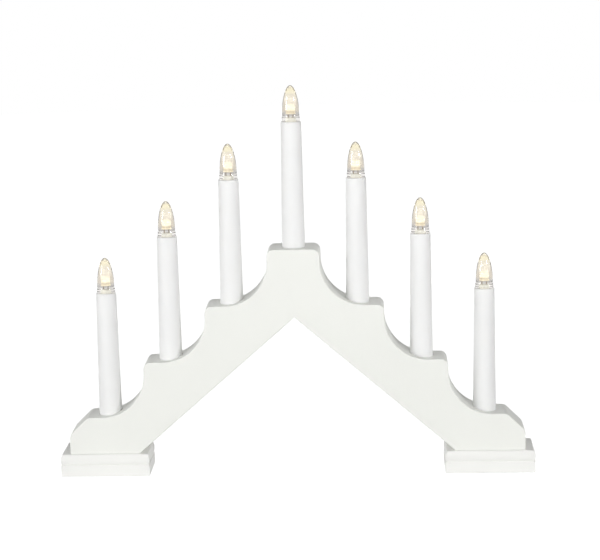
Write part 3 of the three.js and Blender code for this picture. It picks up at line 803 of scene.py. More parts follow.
@dataclass(frozen=True)
class MouldedPlastic(Finish):
    """Plain moulded plastic with a spark-eroded grain.

    Attributes:
        tone: Linear colour.
        roughness: Middle roughness.
        grain: Cells of the grain a metre.
    """

    tone: Colour
    roughness: float = 0.48
    grain: float = 1500.0

    def inputs(self, bench: Bench) -> Inputs:
        """Lays the grain and drifts of tone.

        Args:
            bench: Where the nodes are laid.

        Returns:
            What feeds the surface shader.
        """
        where = bench.place()
        grain = bench.noise(where, cells=self.grain, detail=2)
        cloud = bench.noise(where, cells=60)
        return {
            "Base Color": bench.ramp(cloud, shades(self.tone, drift=0.04)),
            "Roughness": bench.between(grain, self.roughness - 0.1, self.roughness + 0.1),
            "Normal": bench.relief(grain, depth=0.00005, strength=0.6),
        }


@dataclass(frozen=True)
class GlowPaintedPlastic(MouldedPlastic):
    """Moulded plastic with painted light on its spigot, the end of its profile: an emission that stands for
    the diode's light falling on it.

    Attributes:
        glow: Linear colour of the painted light.
    """

    glow: Colour = (0.2, 0.22, 0.2)

    def inputs(self, bench: Bench) -> Inputs:
        """Adds the painted light on the spigot to the plain plastic.

        Args:
            bench: Where the nodes are laid.

        Returns:
            What feeds the surface shader.
        """
        # painted light: the spigot glows as if the diode lit it
        light = [(0.0, BLACK), (0.72, BLACK), (0.78, self.glow), (1.0, self.glow)]
        lit = {"Emission Color": bench.ramp(bench.along(), light), "Emission Strength": 1.0}
        return super().inputs(bench) | lit


@dataclass(frozen=True)
class ClearAcrylic(Finish):
    """Clear moulded acrylic with faint flow lines, with painted shade and light in bands along its profile
    and painted warm light under its point.

    Attributes:
        foot: Linear colour of the painted shade on what shines through the ring at its foot.
        waist: Linear colour of the painted shade just over the ring.
        wall: Linear colour of the painted shade on what shines through its wall.
        crown: Linear colour of the painted shade round the end of the bore.
        glow: Linear colour of the painted warm light under the point.
        point: Linear colour of the painted shade on the point itself.
        ember: Linear colour of the painted light under the point, which stands for the diode's light caught
            there.
    """

    foot: Colour
    waist: Colour
    wall: Colour
    crown: Colour
    glow: Colour
    point: Colour
    ember: Colour

    def inputs(self, bench: Bench) -> Inputs:
        """Lays the painted shade and the painted light along the profile, and the flow lines.

        Args:
            bench: Where the nodes are laid.

        Returns:
            What feeds the surface shader.
        """
        along = bench.along()
        flow = bench.noise(bench.place((1, 1, 0.3)), cells=180, detail=2)
        # painted shade and painted light: the colour darkens and warms in bands along the profile
        painted_shading = [
            (0.0, self.foot), (0.5, self.foot),
            (0.515, self.waist), (0.555, self.waist),
            (0.59, self.wall), (0.7, self.wall),
            (0.755, self.crown), (0.815, self.crown),
            (0.87, self.glow), (0.92, self.glow),
            (0.95, self.point),
        ]
        # painted light: emission under the point stands for the diode's light caught there
        painted_embers = [(0.0, BLACK), (0.71, BLACK), (0.78, self.ember), (0.92, self.ember), (0.965, BLACK)]
        return {
            "Base Color": bench.ramp(along, painted_shading),
            "Emission Color": bench.ramp(along, painted_embers),
            "Emission Strength": 1.0,
            "Roughness": bench.between(flow, 0.02, 0.06),
            "Normal": bench.relief(flow, depth=0.00004, strength=0.5),
            "Transmission Weight": 1.0,
            "IOR": 1.49,
        }


@dataclass(frozen=True)
class FrostedBore(Finish):
    """Cloudy wall of the bullet's bore, with painted light down to the flange that stands for the diode's
    light, and clear below it.

    Attributes:
        crown: Linear colour of the painted light at the bore's round end.
        middle: Linear colour of the painted light half way down.
        lower: Linear colour of the painted light just over the flange.
        haze: How much of the wall the eye catches, from 0 to 1.
        strength: Strength of the painted light.
        clear: What the eye still catches of the wall below the flange.
    """

    crown: Colour
    middle: Colour
    lower: Colour
    haze: float
    strength: float
    clear: float = 0.04

    def inputs(self, bench: Bench) -> Inputs:
        """Lays the painted light and the cover along the bore, from its round end down, and a fine cloud.

        Args:
            bench: Where the nodes are laid.

        Returns:
            What feeds the surface shader.
        """
        along = bench.along()
        cloud = bench.noise(bench.place(), cells=700)
        # painted light: the bore wall glows as if lit by the diode
        light = [
            (0.0, self.crown), (0.09, self.crown),
            (0.14, self.middle), (0.18, self.middle),
            (0.22, self.lower),
        ]
        haze = self.haze
        cover = [(0.0, haze), (0.14, haze), (0.2, 0.45 * haze), (0.235, 0.2 * haze), (0.26, self.clear)]
        return {
            "Base Color": bench.ramp(cloud, shades(self.middle, drift=0.03)),
            "Roughness": bench.between(cloud, 0.3, 0.5),
            "Emission Color": bench.ramp(along, light),
            "Emission Strength": self.strength,
            "Alpha": bench.ramp(along, [(place, (share,) * 3) for place, share in cover]),
        }


@dataclass(frozen=True)
class LitEpoxy(Finish):
    """Clear epoxy filled with light: bright along its wall and dome, amber below and above a pale flange.

    Attributes:
        core: Linear colour of the brightest light.
        skin: Linear colour of the dome.
        amber: Linear colour of the dim stretches at the flange.
        rim: Linear colour of the flange.
        strength: Strength of the brightest light.
    """

    core: Colour
    skin: Colour
    amber: Colour
    rim: Colour
    strength: float

    def inputs(self, bench: Bench) -> Inputs:
        """Lays the light along the profile, from the middle of the underside to the dome, and a flicker.

        Args:
            bench: Where the nodes are laid.

        Returns:
            What feeds the surface shader.
        """
        flicker = bench.noise(bench.place(), cells=900, detail=2)
        stops = [
            (0.0, self.amber), (0.22, self.amber),
            (0.27, self.rim), (0.32, self.rim),
            (0.345, self.amber), (0.42, self.amber),
            (0.5, self.core), (0.7, self.core),
            (0.84, self.skin), (1.0, self.skin),
        ]
        return {
            "Base Color": bench.ramp(flicker, shades(self.skin, drift=0.03)),
            "Roughness": bench.between(flicker, 0.08, 0.16),
            "Emission Color": bench.ramp(bench.along(), stops),
            "Emission Strength": self.strength,
        }


@dataclass(frozen=True)
class Metal(Finish):
    """Bare or plated metal, brushed along one axis.

    Attributes:
        tone: Linear colour.
        roughness: Middle roughness.
        stretch: Stretch of the brushing along each axis.
    """

    tone: Colour
    roughness: float = 0.32
    stretch: tuple[float, float, float] = (1.0, 1.0, 1.0)

    def inputs(self, bench: Bench) -> Inputs:
        """Lays the brushing.

        Args:
            bench: Where the nodes are laid.

        Returns:
            What feeds the surface shader.
        """
        brush = bench.noise(bench.place(self.stretch), cells=1400)
        return {
            "Base Color": bench.ramp(brush, shades(self.tone, drift=0.06)),
            "Metallic": 1.0,
            "Roughness": bench.between(brush, self.roughness - 0.1, self.roughness + 0.12),
            "Normal": bench.relief(brush, depth=0.00003, strength=0.6),
        }


@dataclass(frozen=True)
class Felt(Finish):
    """Pressed wool felt: crossing fibres, flecks of tone and a soft sheen.

    Attributes:
        tone: Linear colour.
        nap: Depth of the fibres in metres.
    """

    tone: Colour
    nap: float = 0.0004

    def inputs(self, bench: Bench) -> Inputs:
        """Lays fibres across fibres, and flecks.

        Args:
            bench: Where the nodes are laid.

        Returns:
            What feeds the surface shader.
        """
        fibres = bench.noise(bench.place((1, 0.25, 1)), cells=2200, detail=4)
        cross = bench.noise(bench.place((0.25, 1, 1)), cells=1900, detail=4)
        fleck = bench.noise(bench.place(), cells=420)
        under = bench.relief(fibres, self.nap, strength=0.7)
        return {
            "Base Color": bench.ramp(fleck, shades(self.tone, drift=0.16)),
            "Roughness": 0.95,
            "Normal": bench.relief(cross, self.nap, strength=0.7, under=under),
            "Sheen Weight": 0.4,
            "Sheen Roughness": 0.5,
        }


@dataclass(frozen=True)
class FaceBoard(Finish):
    """White-faced hardboard: a smooth lacquer over fine pressed fibres.

    Attributes:
        tone: Linear colour.
    """

    tone: Colour

    def inputs(self, bench: Bench) -> Inputs:
        """Lays the fibres and drifts of tone.

        Args:
            bench: Where the nodes are laid.

        Returns:
            What feeds the surface shader.
        """
        fibre = bench.noise(bench.place((1, 1, 0.5)), cells=800, detail=5)
        cloud = bench.noise(bench.place(), cells=30)
        return {
            "Base Color": bench.ramp(cloud, shades(self.tone, drift=0.02)),
            "Roughness": bench.between(fibre, 0.5, 0.68),
            "Normal": bench.relief(fibre, depth=0.0001, strength=0.7),
        }


@dataclass(frozen=True)
class CellJacket(Finish):
    """Printed sleeve of a round cell: a warm band at the nub, a dark sleeve, bare metal at both ends.

    Attributes:
        sleeve: Linear colour of the sleeve.
        band: Linear colour of the band.
        metal: Linear colour of the bare ends.
    """

    sleeve: Colour
    band: Colour
    metal: Colour

    def inputs(self, bench: Bench) -> Inputs:
        """Lays the print along the profile, from the nub to the flat end, and scuffs.

        Args:
            bench: Where the nodes are laid.

        Returns:
            What feeds the surface shader.
        """
        scuff = bench.noise(bench.place((0.4, 1, 0.4)), cells=900, detail=4)
        stops = [(0.0, self.metal), (0.105, self.band), (0.3, self.sleeve), (0.895, self.metal)]
        return {
            "Base Color": bench.ramp(bench.along(), stops, stepped=True),
            "Metallic": 0.55,
            "Roughness": bench.between(scuff, 0.26, 0.46),
            "Normal": bench.relief(scuff, depth=0.00003, strength=0.5),
        }


ARCH_PAINT = SatinPaint("arch_paint", linear(241, 242, 237))
# the same white paint as the arch, a shade lighter: painted light standing for the floor's bounce on the feet
FOOT_PAINT_BOUNCE_LIT = SatinPaint("foot_paint", linear(244, 244, 241))
CANDLE_WHITE = CandlePlastic("candle_plastic", linear(248, 248, 247))
# clear bullet with painted light and shade along its profile
BULB_CLEAR = ClearAcrylic(
    "clear_bulb",
    foot=(0.84, 0.82, 0.8),
    waist=(0.48, 0.465, 0.45),
    wall=(0.62, 0.57, 0.49),
    crown=(0.64, 0.605, 0.535),
    glow=(0.73, 0.685, 0.51),
    point=(0.34, 0.335, 0.31),
    ember=(0.08, 0.07, 0.05),
)
# bore wall with painted light from the diode
BULB_BORE = FrostedBore(
    "frosted_bore",
    crown=(0.97, 0.95, 0.93),
    middle=(0.97, 0.95, 0.91),
    lower=(1.0, 0.93, 0.76),
    haze=0.5,
    strength=0.34,
)
LED_LIGHT = LitEpoxy(
    "led_light",
    core=(1.0, 0.965, 0.85),
    skin=(1.0, 0.95, 0.82),
    amber=(0.26, 0.2, 0.12),
    rim=(0.78, 0.71, 0.55),
    strength=0.78,
)
SOCKET_IVORY = MouldedPlastic("socket_plastic", linear(233, 230, 220))
# the plug's spigot carries painted light from the diode
PLUG_IVORY = GlowPaintedPlastic("plug_plastic", linear(247, 243, 234))
DOOR_WHITE = MouldedPlastic("door_plastic", linear(236, 235, 230), roughness=0.42)
BLACK_PLASTIC = MouldedPlastic("black_plastic", linear(42, 42, 43))
BOARD_GREEN = MouldedPlastic("board_laminate", linear(47, 90, 58), roughness=0.4)
WIRE_SLEEVE = MouldedPlastic("wire_sleeve", linear(228, 226, 220), roughness=0.5)
ZINC_STEEL = Metal("zinc_steel", linear(164, 164, 160))
LEAD_STEEL = Metal("lead_steel", linear(176, 160, 140), roughness=0.38)
CONTACT_BRASS = Metal("contact_brass", linear(201, 178, 124), roughness=0.34, stretch=(1, 0.2, 1))
PAD_FELT = Felt("pad_felt", linear(185, 181, 170))
BACK_BOARD = FaceBoard("back_board", linear(232, 230, 223))
CELL_SLEEVE = CellJacket(
    "cell_sleeve", sleeve=linear(70, 76, 86), band=linear(196, 142, 92), metal=linear(200, 200, 196))


# Sub-assemblies


@dataclass
class ArchBoard:
    """The painted board: steps, quarter-round scoops between them, and a pointed inside.

    Sizes are in millimetres. The board's ends, height and thickness come from the frame.
    """

    pitch: float = 52.84
    rise: float = 47.25
    steps_per_side: int = 3
    nose_reach: float = 22.0
    nose_radius: float = 6.0
    scoop_radius: float = 36.5
    bevel_run: float = 15.6
    bevel_drop: float = 15.2
    corner_ease: float = 3.0
    arm_width_low: float = 35.23
    arm_width_top: float = 37.23
    arris: float = 0.8
    joint_gap: float = 0.05
    wire_way: float = 3.5
    way_overlap: float = 1.0
    rows: int = 9
    straight_pitch: float = 6.0
    low: np.ndarray = field(init=False)
    high: np.ndarray = field(init=False)
    slope: float = field(init=False)
    apex: float = field(init=False)

    def __post_init__(self) -> None:
        """Reads the board's box and works out the inner edge.

        The inner edge is the common tangent of two circles about the centres of the lowest and the top
        scoop, each larger than its scoop by the width of wood there.
        """
        self.low, self.high = box_of("arch_body")
        lowest, top = self.scoop(0), self.scoop(self.steps_per_side - 1)
        run = lowest - top
        narrowing = self.arm_width_top - self.arm_width_low
        self.slope = math.atan2(-run[1], run[0]) - math.asin(narrowing / np.linalg.norm(run))
        square = np.array((math.sin(self.slope), math.cos(self.slope)))
        self.apex = float(top @ square - self.scoop_radius - self.arm_width_top) / square[1]

    def step(self, level: int) -> float:
        """Height of a step, counted from the lowest one."""
        return float(self.high[2]) - (self.steps_per_side - level) * self.rise

    def reach(self, level: int) -> float:
        """Distance of a step's candle from the middle."""
        return (self.steps_per_side - level) * self.pitch

    def scoop(self, level: int) -> np.ndarray:
        """Centre of the scoop that rises from a step."""
        side = self.reach(level + 1) + self.nose_reach + self.scoop_radius
        return np.array((side, self.step(level) + self.scoop_radius))

    def arm(self, side: Side) -> Placing:
        """Gives the placing of an arm's own frame.

        Args:
            side: Which arm.

        Returns:
            A function from (along the inner edge, square to it, depth) to the part's frame. Along counts
            from the apex outwards.
        """
        sign, cosine, sine = side.value, math.cos(self.slope), math.sin(self.slope)
        turn = np.array(((sign * cosine, 0, -sine), (sign * sine, 0, cosine), (0, 1, 0)))
        return lambda points: points @ turn + (0, 0, self.apex)

    def outer_edge(self) -> np.ndarray:
        """Right half of the outer edge, from the middle of the top step down to the foot of the board.

        Returns:
            Plan points, one row each.
        """
        stretches = [(0.0, self.high[2])]
        for level in reversed(range(self.steps_per_side)):
            centre = self.scoop(level)
            nose = (centre[0] - self.scoop_radius - self.nose_radius, self.step(level + 1) - self.nose_radius)
            stretches.append(arc(nose, self.nose_radius, 90, 0, steps=12))
            stretches.append(arc(centre, self.scoop_radius, 180, 270, steps=40))
        end, ground = self.high[0], self.step(0)
        bevel = np.array((self.bevel_run, -self.bevel_drop))
        ease = self.corner_ease * bevel / np.linalg.norm(bevel)
        shoulder = np.array((end - self.bevel_run, ground))
        hip = np.array((end, ground - self.bevel_drop))
        stretches += [
            knee(shoulder - (self.corner_ease, 0), shoulder, shoulder + ease, steps=8),
            knee(hip - ease, hip, hip - (0, self.corner_ease), steps=8),
            (end, self.low[2] - 2 * self.arris),
        ]
        return refined(chain(*stretches), self.straight_pitch)

    def sheet(self) -> np.ndarray:
        """Plan of the board as a bent rectangle, with rows from the inner to the outer edge.

        A point is (1 - t) inner(s) + t outer(s), with s from left to right. The inner point of a column lies
        as far along the inner edge as its outer point lies along the arm's direction.

        Returns:
            Array of rows, columns and the plan's X and Z.
        """
        outer = self.outer_edge()
        heading = np.array((math.cos(self.slope), -math.sin(self.slope)))
        progress = (outer - outer[0]) @ heading
        length = (self.apex - outer[-1, 1]) / math.sin(self.slope)
        inner = np.array((0, self.apex)) + np.outer(progress / progress[-1] * length, heading)
        share = np.linspace(0, 1, self.rows)[:, None, None]
        right = (1 - share) * inner + share * outer
        left = right[:, :0:-1] * (-1, 1)
        return np.concatenate((left, right), axis=1)

    def chevron(self, inner: float, outer: float, foot: float) -> np.ndarray:
        """Plan of an inverted V between two lines beside the inner edge, level at its foot.

        Args:
            inner: Offset of its inner line from the board's inner edge.
            outer: Offset of its outer line.
            foot: Height of its lower ends.

        Returns:
            Two rows of three plan points.
        """
        lines = []
        for offset in (inner, outer):
            reach = ((self.apex - foot) * math.cos(self.slope) + offset) / math.sin(self.slope)
            lines.append([(-reach, foot), (0, self.apex + offset / math.cos(self.slope)), (reach, foot)])
        return np.array(lines)

    def candle_cutters(self, number: int, back: "BackDrive") -> list[Surface]:
        """What a candle takes out of the board: its seat, and the way down to the wire lane.

        Args:
            number: Number of the candle.
            back: The drive, which knows the wire lane.

        Returns:
            The two cutters.
        """
        low, high = box_of(f"candle_tube_{number}")
        axis = (low + high) / 2
        floor = low[2] - FIT_GAP
        seat = (high[1] - low[1]) / 2 + FIT_GAP
        lane = back.lane_height(abs(axis[0]))
        bore = (seat, floor, floor + self.rise)
        way = (self.wire_way, lane, floor + self.way_overlap)
        cutters = []
        for radius, bottom, top in (bore, way):
            profile = chain((0, bottom), (radius, bottom), (radius, top), (0, top))
            cutters.append(lathe(profile, sides=64).moved((axis[0], 0, 0)))
        return cutters

    def build(self, back: "BackDrive") -> None:
        """Makes the board, cuts its seats, wire ways and the room for the drive, and paints it.

        Args:
            back: The drive in the board's back.
        """
        rim = eased(self.low[1], self.high[1], self.arris, steps=5)
        board = slab(self.sheet(), rim).piece("painted_board")
        below = box_of("left_foot")[1][2] + self.joint_gap
        reach = self.high[0] + self.pitch
        low, high = (-reach, -self.pitch, below - self.pitch), (reach, self.pitch, below)
        cutters = [*back.board_cutters(), block(low, high, corner=1.0, ease=CUT_EASE)]
        for number in CANDLES:
            cutters += self.candle_cutters(number, back)
        carve(board, cutters)
        level_normals(board)
        enlist(board, "arch", "arch_paint", ARCH_PAINT.material(), "arch_body")


@dataclass
class MouldedFoot:
    """A painted foot block with a moulding on all four sides, and the felt under it.

    Sizes are in millimetres. Length, depth and height come from the frame.
    """

    side: Side
    plinth_top: float = 10.5
    bulge: float = 1.8
    undercut: float = 65.0
    arris: float = 0.7
    corner: float = 0.6
    pad_ease: float = 0.35
    pad_corner: float = 4.0
    recess_ease: float = 0.01

    def moulding(self, bottom: float, top: float) -> np.ndarray:
        """Profile of the moulding from the underside up.

        A small round, the plinth's upright face, a rounded edge, a ledge in to the neck, and the bead. The
        bead is an upright ellipse with the bulge as its width, from the undercut's angle below its widest
        place to its top.

        Args:
            bottom: Height of the underside.
            top: Height of the top face.

        Returns:
            Rows of inset and height.
        """
        ease = self.arris
        toe = arc((ease, bottom + ease), ease, 270, 180, steps=4)
        edge = arc((ease, self.plinth_top - ease), ease, 180, 90, steps=5)
        angle = np.radians(np.linspace(-self.undercut, 90, num=17))
        share = (np.sin(angle) - np.sin(angle[0])) / (1 - np.sin(angle[0]))
        height = self.plinth_top + (top - self.plinth_top) * share
        return chain(toe, edge, np.column_stack((self.bulge * (1 - np.cos(angle)), height)))

    def build(self, paint: Material, felt: Material) -> None:
        """Makes the foot and its felt and dresses them.

        Args:
            paint: Material of the foot.
            felt: Material of the felt.
        """
        word = self.side.word
        low, high = box_of(f"{word}_foot")
        pad_low, pad_high = box_of(f"{word}_foot_pad")
        middle, half = (low + high) / 2, (high - low) / 2
        body = stacked(half[:2], self.corner, self.moulding(low[2], high[2]), steps=4)
        foot = body.moved((middle[0], middle[1], 0)).piece(f"moulded_foot_{word}")
        carve(foot, [block(pad_low - FIT_GAP, pad_high + FIT_GAP, self.pad_corner, self.recess_ease)])
        level_normals(foot)
        enlist(foot, "arch", "foot_paint", paint, f"{word}_foot")
        pad = block(pad_low, pad_high, self.pad_corner, self.pad_ease, steps=5).piece(f"felt_{word}")
        enlist(pad, "arch", "felt", felt, f"{word}_foot_pad")


@dataclass
class Candle:
    """One candle: tube, socket, and the push-in bulb of plug, diode, leads and clear bullet.

    Sizes are in millimetres, and heights count from the tube's rim. The tube's place comes from the frame.
    """

    number: int
    base_radius: float = 9.7
    top_radius: float = 8.45
    seat_depth: float = 3.7
    wall: float = 1.5
    rim_wall: float = 1.85
    rim_round: float = 1.1
    ledge_drop: float = 16.0
    ledge_width: float = 1.6
    ledge_thickness: float = 2.0
    socket_wall: float = 1.7
    socket_floor: float = 3.0
    socket_recess: float = 0.8
    terminal_hole: float = 1.8
    spigot: float = 2.5
    groove_drop: float = 1.2
    groove_width: float = 1.0
    groove_slope: float = 0.2
    groove_depth: float = 0.35
    ring_radius: float = 7.65
    ring_height: float = 3.6
    foot_radius: float = 7.3
    shoulder_radius: float = 7.2
    shoulder_height: float = 6.6
    tip_height: float = 29.5
    tip_power: float = 1.8
    bore_radius: float = 3.2
    bore_height: float = 20.3
    bore_slack: float = 0.1
    diode_radius: float = 2.5
    flange_radius: float = 2.9
    flange_height: float = 1.0
    diode_height: float = 8.6
    diode_lift: float = 5.9
    lead_pitch: float = 2.54
    lead_radius: float = 0.28
    lead_sink: float = 0.6
    lead_entry: float = 0.1
    flange_round: float = 0.2
    small_round: float = 0.3
    soft_round: float = 0.4
    entry_round: float = 0.5
    sides: int = 72
    inner_sides: int = 40
    foot: float = field(init=False)
    rim: np.ndarray = field(init=False)
    bore: float = field(init=False)
    socket_bore: float = field(init=False)
    socket_ground: float = field(init=False)

    def __post_init__(self) -> None:
        """Reads where the tube stands and how high its rim is, and works out what fits into it."""
        low, high = box_of(f"candle_tube_{self.number}")
        self.foot = float(low[2])
        self.rim = np.array((*((low + high) / 2)[:2], high[2]))
        self.bore = self.top_radius - self.rim_wall
        self.socket_bore = self.bore - FIT_GAP - self.socket_wall
        self.socket_ground = -self.ledge_drop + FIT_GAP + self.socket_floor

    def tube(self) -> Surface:
        """Tapered tube with a rounded rim, and a ledge inside that carries the socket.

        Returns:
            The turned surface, with the middle of the tube's rim as its origin.
        """
        bottom = self.foot - self.rim[2]
        step = bottom + self.seat_depth
        ledge = -self.ledge_drop
        under = ledge - self.ledge_thickness
        taper = np.interp((-self.rim_round, under), (step, 0), (self.base_radius, self.top_radius))
        profile = chain(
            (self.base_radius - self.wall, bottom),
            corner_round((self.base_radius, bottom), self.soft_round, Corner.OUTER_LOW, steps=3),
            (self.base_radius, step),
            corner_round((taper[0], 0), self.rim_round, Corner.OUTER_TOP, steps=8),
            corner_round((self.bore, 0), self.small_round, Corner.INNER_TOP, steps=4),
            (self.bore, ledge),
            (self.bore - self.ledge_width, ledge),
            (self.bore - self.ledge_width, under),
            (taper[1] - self.wall, under),
            (self.base_radius - self.wall, bottom),
        )
        return lathe(profile, self.sides)

    def socket(self) -> Surface:
        """Cup in the tube's top with a hole in its floor for the terminal.

        Returns:
            The turned surface, with the middle of the tube's rim as its origin.
        """
        outer, bottom, mouth = self.bore - FIT_GAP, -self.ledge_drop + FIT_GAP, -self.socket_recess
        profile = chain(
            (self.terminal_hole, bottom),
            (outer, bottom),
            corner_round((outer, mouth), self.small_round, Corner.OUTER_TOP, steps=3),
            corner_round((self.socket_bore, mouth), self.entry_round, Corner.INNER_TOP, steps=4),
            (self.socket_bore, self.socket_ground),
            (self.terminal_hole, self.socket_ground),
            (self.terminal_hole, bottom),
        )
        return lathe(profile, self.sides)

    def plug(self) -> Surface:
        """Push-in base: a barrel with a groove round it, and a spigot that holds the bullet.

        Returns:
            The turned surface, with the middle of the tube's rim as its origin.
        """
        barrel = self.socket_bore - FIT_GAP
        bottom = self.socket_ground + FIT_GAP
        spigot = self.bore_radius - FIT_GAP
        high, low = -self.groove_drop, -self.groove_drop - self.groove_width
        profile = chain(
            (0, bottom),
            corner_round((barrel, bottom), self.entry_round, Corner.OUTER_LOW, steps=4),
            (barrel, low),
            (barrel - self.groove_depth, low + self.groove_slope),
            (barrel - self.groove_depth, high - self.groove_slope),
            (barrel, high),
            (barrel, 0),
            (spigot, 0),
            corner_round((spigot, self.spigot), self.soft_round, Corner.OUTER_TOP, steps=4),
            (0, self.spigot),
        )
        return lathe(profile, self.inner_sides)

    def diode(self) -> Surface:
        """Round diode: a flange, an upright wall and a half-round dome.

        Returns:
            The turned surface, with the middle of the tube's rim as its origin.
        """
        low = self.diode_lift
        flange_top = low + self.flange_height
        spring = low + self.diode_height - self.diode_radius
        profile = chain(
            (0, low),
            corner_round((self.flange_radius, low), self.flange_round, Corner.OUTER_LOW, steps=2),
            corner_round((self.flange_radius, flange_top), self.flange_round, Corner.OUTER_TOP, steps=2),
            (self.diode_radius, flange_top),
            arc((0, spring), self.diode_radius, 0, 90, steps=14),
        )
        profile[-1, 0] = 0
        return lathe(profile, self.inner_sides)

    def leads(self) -> Surface:
        """The diode's two leads, upright from the plug to the flange.

        Returns:
            Both wires, with the middle of the tube's rim as their origin.
        """
        height = np.linspace(self.spigot - self.lead_sink, self.diode_lift + self.lead_entry, num=6)
        wires = []
        for side in Side:
            across = np.full_like(height, side.value * self.lead_pitch / 2)
            path = np.column_stack((across, np.zeros_like(height), height))
            wires.append(sweep(path, self.lead_radius, sides=10))
        return merged(*wires)

    def bullet(self) -> Surface:
        """Clear bullet: ring, upright wall and a blunt arch, over a round-ended bore.

        At a share u of the arch's rise its radius is the shoulder's times the square root of 1 - u^tip_power.

        Returns:
            The turned surface, with the middle of the tube's rim as its origin.
        """
        low = FIT_GAP
        share = np.sin(np.linspace(0, np.pi / 2, num=41))
        arch_radius = self.shoulder_radius * np.sqrt(1 - share**self.tip_power)
        arch_height = self.shoulder_height + (self.tip_height - self.shoulder_height) * share
        waist = self.ring_height - (self.ring_radius - self.foot_radius)
        brow = (self.ring_radius - self.small_round, waist - self.small_round)
        profile = chain(
            arc((0, self.bore_height - self.bore_radius), self.bore_radius, 90, 0, steps=12),
            (self.bore_radius, low),
            corner_round((self.ring_radius, low), self.small_round, Corner.OUTER_LOW, steps=3),
            arc(brow, self.small_round, 0, 45, steps=3),
            (self.foot_radius, self.ring_height),
            np.column_stack((arch_radius, arch_height)),
        )
        profile[0, 0] = 0
        return lathe(profile, self.sides)

    def line_bore(self, bullet: Piece, frost: Material) -> None:
        """Gives the wall of the bullet's bore its own material: faces whose middle lies within the bore.

        Args:
            bullet: The finished bullet.
            frost: Material of the bore.
        """
        mesh = bullet.data
        middles = np.empty(3 * len(mesh.polygons), np.float32)
        mesh.polygons.foreach_get("center", middles)
        spot = middles.reshape(-1, 3) / MM - self.rim
        near = np.hypot(spot[:, 0], spot[:, 1]) < self.bore_radius + self.bore_slack
        below = spot[:, 2] < self.bore_height + self.bore_slack
        mesh.materials.append(frost)
        mesh.polygons.foreach_set("material_index", (near & below).astype(np.int32))

    def build(self, materials: dict[str, Material]) -> None:
        """Makes the candle's pieces and dresses them.

        Args:
            materials: The materials by the names of the pieces, and that of the bullet's bore.
        """
        bulb = f"bulb_{self.number}"
        rows = (
            ("tube", self.tube, "arch", "candle_plastic", "candle_tube"),
            ("socket_cup", self.socket, "arch", "socket_plastic", "lamp_socket"),
            ("bulb_plug", self.plug, bulb, "socket_plastic", "bulb_base"),
            ("diode", self.diode, bulb, "led_glow", "bulb_led"),
            ("clear_bullet", self.bullet, bulb, "clear_bulb", "bulb_lens"),
        )
        pieces = {}
        for name, shape, body, slot, node in rows:
            pieces[name] = shape().moved(self.rim).piece(f"{name}_{self.number}")
            enlist(pieces[name], body, slot, materials[name], f"{node}_{self.number}")
        self.line_bore(pieces["clear_bullet"], materials["bore"])
        leads = self.leads().moved(self.rim).piece(f"diode_leads_{self.number}")
        enlist(leads, bulb, "steel", materials["diode_leads"])


@dataclass
class CoverScrew:
    """A countersunk screw with a cross recess, flush with the back.

    Sizes are in millimetres, and drops count from the face of its head. Its place comes from the frame.
    """

    name: str
    face: float
    length: float = 3.4
    shank_radius: float = 1.1
    cone_low_drop: float = 1.6
    cone_top_radius: float = 2.45
    cone_top_drop: float = 0.3
    head_radius: float = 2.6
    rim_low_drop: float = 0.15
    rim_top_drop: float = 0.06
    face_radius: float = 2.5
    recess_reach: float = 1.5
    recess_half_width: float = 0.28
    recess_depth: float = 1.1
    recess_corner: float = 0.1
    sides: int = 40

    def place(self, points: np.ndarray) -> np.ndarray:
        """Puts points of the screw's own frame, whose Z points out of the back, into the part's frame.

        Args:
            points: Points in the screw's frame, one row each.

        Returns:
            The same points in the part's frame.
        """
        low, high = box_of(f"cover_screw_{self.name}")
        middle = (low + high) / 2
        turned = np.column_stack((points[:, 0], points[:, 2], -points[:, 1]))
        return turned + (middle[0], self.face, middle[2])

    def sink(self) -> Surface:
        """What the screw takes out of the cover: a hole and a countersink, with a gap all round.

        Returns:
            The closed cutter in the part's frame.
        """
        hole, mouth, deep = self.shank_radius + FIT_GAP, self.head_radius + FIT_GAP, -self.length - FIT_GAP
        profile = chain(
            (0, deep),
            (hole, deep),
            (hole, -self.cone_low_drop - FIT_GAP),
            (mouth, -self.cone_top_drop - FIT_GAP),
            (mouth, CUT_OVERRUN),
            (0, CUT_OVERRUN),
        )
        return lathe(profile, self.sides).mapped(self.place)

    def build(self, steel: Material) -> None:
        """Makes the screw, cuts its recess and dresses it.

        Args:
            steel: Its material.
        """
        profile = chain(
            (0, -self.length),
            (self.shank_radius, -self.length),
            (self.shank_radius, -self.cone_low_drop),
            (self.cone_top_radius, -self.cone_top_drop),
            (self.head_radius, -self.rim_low_drop),
            (self.head_radius, -self.rim_top_drop),
            (self.face_radius, 0),
            (0, 0),
        )
        screw = lathe(profile, self.sides).mapped(self.place).piece(f"back_screw_{self.name}")
        reach, half = self.recess_reach, self.recess_half_width
        cross = []
        for x, y in ((reach, half), (half, reach)):
            slot = block((-x, -y, -self.recess_depth), (x, y, CUT_OVERRUN), self.recess_corner, CUT_EASE)
            cross.append(slot.mapped(self.place))
        carve(screw, cross)
        enlist(screw, "arch", "steel", steel, f"cover_screw_{self.name}")


